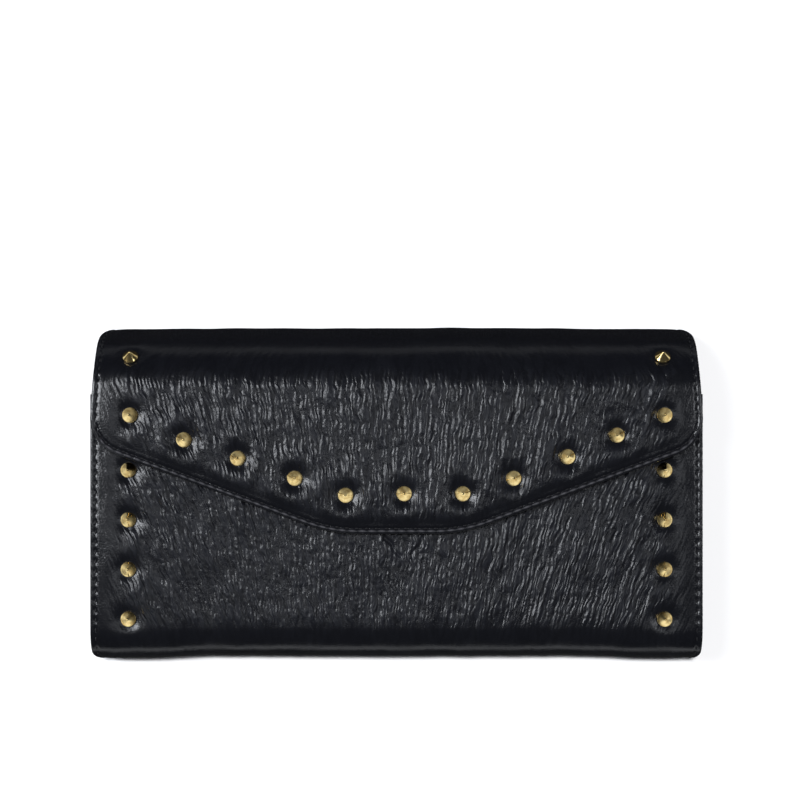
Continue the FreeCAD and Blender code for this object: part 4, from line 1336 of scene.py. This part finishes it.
def gusset_piece(side, part):
    """A pleated leather wall, fanned at the bottom to close the end of the bottom fold."""
    low, high = box("gusset_" + part)
    outer_x = max(abs(low[0]), abs(high[0])) - GUSSET / 2
    inner_x = min(abs(low[0]), abs(high[0])) + GUSSET / 2
    back, front = low[2] + GUSSET / 2, high[2] - GUSSET / 2
    corners = [
        (outer_x, back),
        (inner_x, (back + POCKET_BACK) / 2),
        (outer_x - POCKET_TUCK, POCKET_BACK),
        (outer_x - POCKET_TUCK, POCKET_FRONT),
        (inner_x, (front + POCKET_FRONT) / 2),
        (outer_x, front),
    ]
    line = bent_line(corners, [GUSSET_BEND] * 4)
    across = spread(BOTTOM_Y - FAN_RADIUS, high[1], 0.8, 0.7)
    y, s, gap = framed_grid(across, spread(0, line[0][-1], 0.3, 0.7))
    level = waves(GUSSET_WAVES, y, s) * step(gap, 0, 0.8) - edge_round(gap, GUSSET)

    def place(py, ps, offset):
        px, pz = on_line(line, ps, offset)
        below = np.clip(BOTTOM_Y - py, 0, FAN_RADIUS)
        open_share = np.sqrt(np.maximum(1 - (below / FAN_RADIUS) ** 2, 0.01))
        px = px + (FAN_X - px) * (1 - open_share)
        pz = BOTTOM_RADIUS + (pz - BOTTOM_RADIUS) * open_share
        return np.stack([side * px, py, pz], -1)

    piece = closed_sheet("pleats_" + part, y, s, level, GUSSET, place, INNER)
    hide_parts("gusset_" + part)
    bend_piece(piece)


gusset_piece(-1, "left")
gusset_piece(1, "right")

# ---- CAD nodes that stay
SLOT_MATERIALS = {"stiffener_board": BOARD, "trim_brass": TRIM_GOLD, "hidden_steel": STEEL}
SOFTENED = "snap_cap snap_socket tab_rivets zip_teeth zip_end_stop zip_top_stops zip_slider zip_pull"
EDGE_SOFTENING = 0.12
SHARP = math.radians(35)
for part in frame["record"]["subparts"]:
    carried = frame["nodes"].get(part["node"])
    finish = SLOT_MATERIALS.get(part["material_slot"])
    if carried is None or carried.hide_render or finish is None:
        continue
    carried.data.materials.clear()
    carried.data.materials.append(finish)
for name in SOFTENED.split():
    carried = frame["nodes"][name]
    weld = carried.modifiers.new("weld", "WELD")
    weld.merge_threshold = 0.001 * MM
    bevel = carried.modifiers.new("bevel", "BEVEL")
    bevel.width = EDGE_SOFTENING * MM
    bevel.segments = 2
    bevel.limit_method = "ANGLE"
    bevel.angle_limit = SHARP

# ---- floor, lights and camera
FLOOR_SIZE = 4000.0
FLOOR_DROP = 0.05
floor = make_mesh(
    "floor",
    [(x * FLOOR_SIZE, y * FLOOR_SIZE, -FLOOR_DROP) for x, y in ((-1, -1), (1, -1), (1, 1), (-1, 1))],
    [[0, 1, 2, 3]],
    new_material("floor_paper", paper),
)
floor.visible_glossy = False
floor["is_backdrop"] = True

BAND_LIGHT = 1.0
BAND_HALF = 0.08
BAND_DROP = 0.02
BAND_FAR = 0.3
STUDIO_DARK = 0.05
STUDIO_COLOUR = (0.95, 0.97, 1.0, 1)


def studio_world():
    """A dark studio with a pale band all round at eye level, dimmer beyond the top of the wallet."""
    world = bpy.data.worlds.new("studio")
    world.use_nodes = True
    tree = world.node_tree
    towards = node(tree, "ShaderNodeTexCoord").outputs["Generated"]
    parts = node(tree, "ShaderNodeSeparateXYZ", {0: towards}).outputs
    height = math_node(tree, "ABSOLUTE", math_node(tree, "ADD", parts["Z"], BAND_DROP))
    band = ramp(tree, height, BAND_HALF, 2.2 * BAND_HALF, BAND_LIGHT, STUDIO_DARK)
    level = math_node(tree, "MULTIPLY", band, ramp(tree, parts["Y"], 0.1, 0.9, 1.0, BAND_FAR))
    seen = node(tree, "ShaderNodeLightPath").outputs["Is Camera Ray"]
    level = node(tree, "ShaderNodeMix", {0: seen, 2: level, 3: 1.0}, data_type="FLOAT").outputs[0]
    feed(tree, tree.nodes["Background"], {"Color": STUDIO_COLOUR, "Strength": level})
    return world


scene = bpy.context.scene
scene.view_settings.view_transform = "Standard"
scene.world = studio_world()

SOFTBOX_COLOUR = (0.92, 0.95, 1.0)
LIT_PLACE = (0, 0, 0.01)


def softbox(name, place, size, power):
    data = bpy.data.lights.new(name, "AREA")
    data.shape = "RECTANGLE"
    data.size, data.size_y = size
    data.energy = power
    data.color = SOFTBOX_COLOUR
    light = put(name, data, place)
    light.rotation_mode = "QUATERNION"
    light.rotation_quaternion = (Vector(LIT_PLACE) - Vector(place)).to_track_quat("-Z", "Y")


softbox("left_box", (-0.84, 0.26, 1.06), (0.34, 0.8), 10.0)
softbox("right_box", (0.7, 0.1, 1.1), (0.2, 0.3), 0.8)
softbox("top_box", (0.0, 0.04, 1.4), (0.7, 0.2), 0.7)

sun_data = bpy.data.lights.new("floor_fill", "SUN")
sun_data.energy = 3.0
sun_data.angle = math.radians(6)
sun = put("floor_fill", sun_data)
sun.rotation_euler = (math.radians(-9), math.radians(-3), 0)
sun.visible_glossy = False

CAMERA_HEIGHT = 0.62
camera_data = bpy.data.cameras.new("camera")
camera_data.sensor_width = 36.0
camera_data.lens = 82.68
camera_data.shift_x = 0.0044
camera_data.shift_y = 0.1152
scene.camera = put("camera", camera_data, (0, 0, CAMERA_HEIGHT))

low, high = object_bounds()
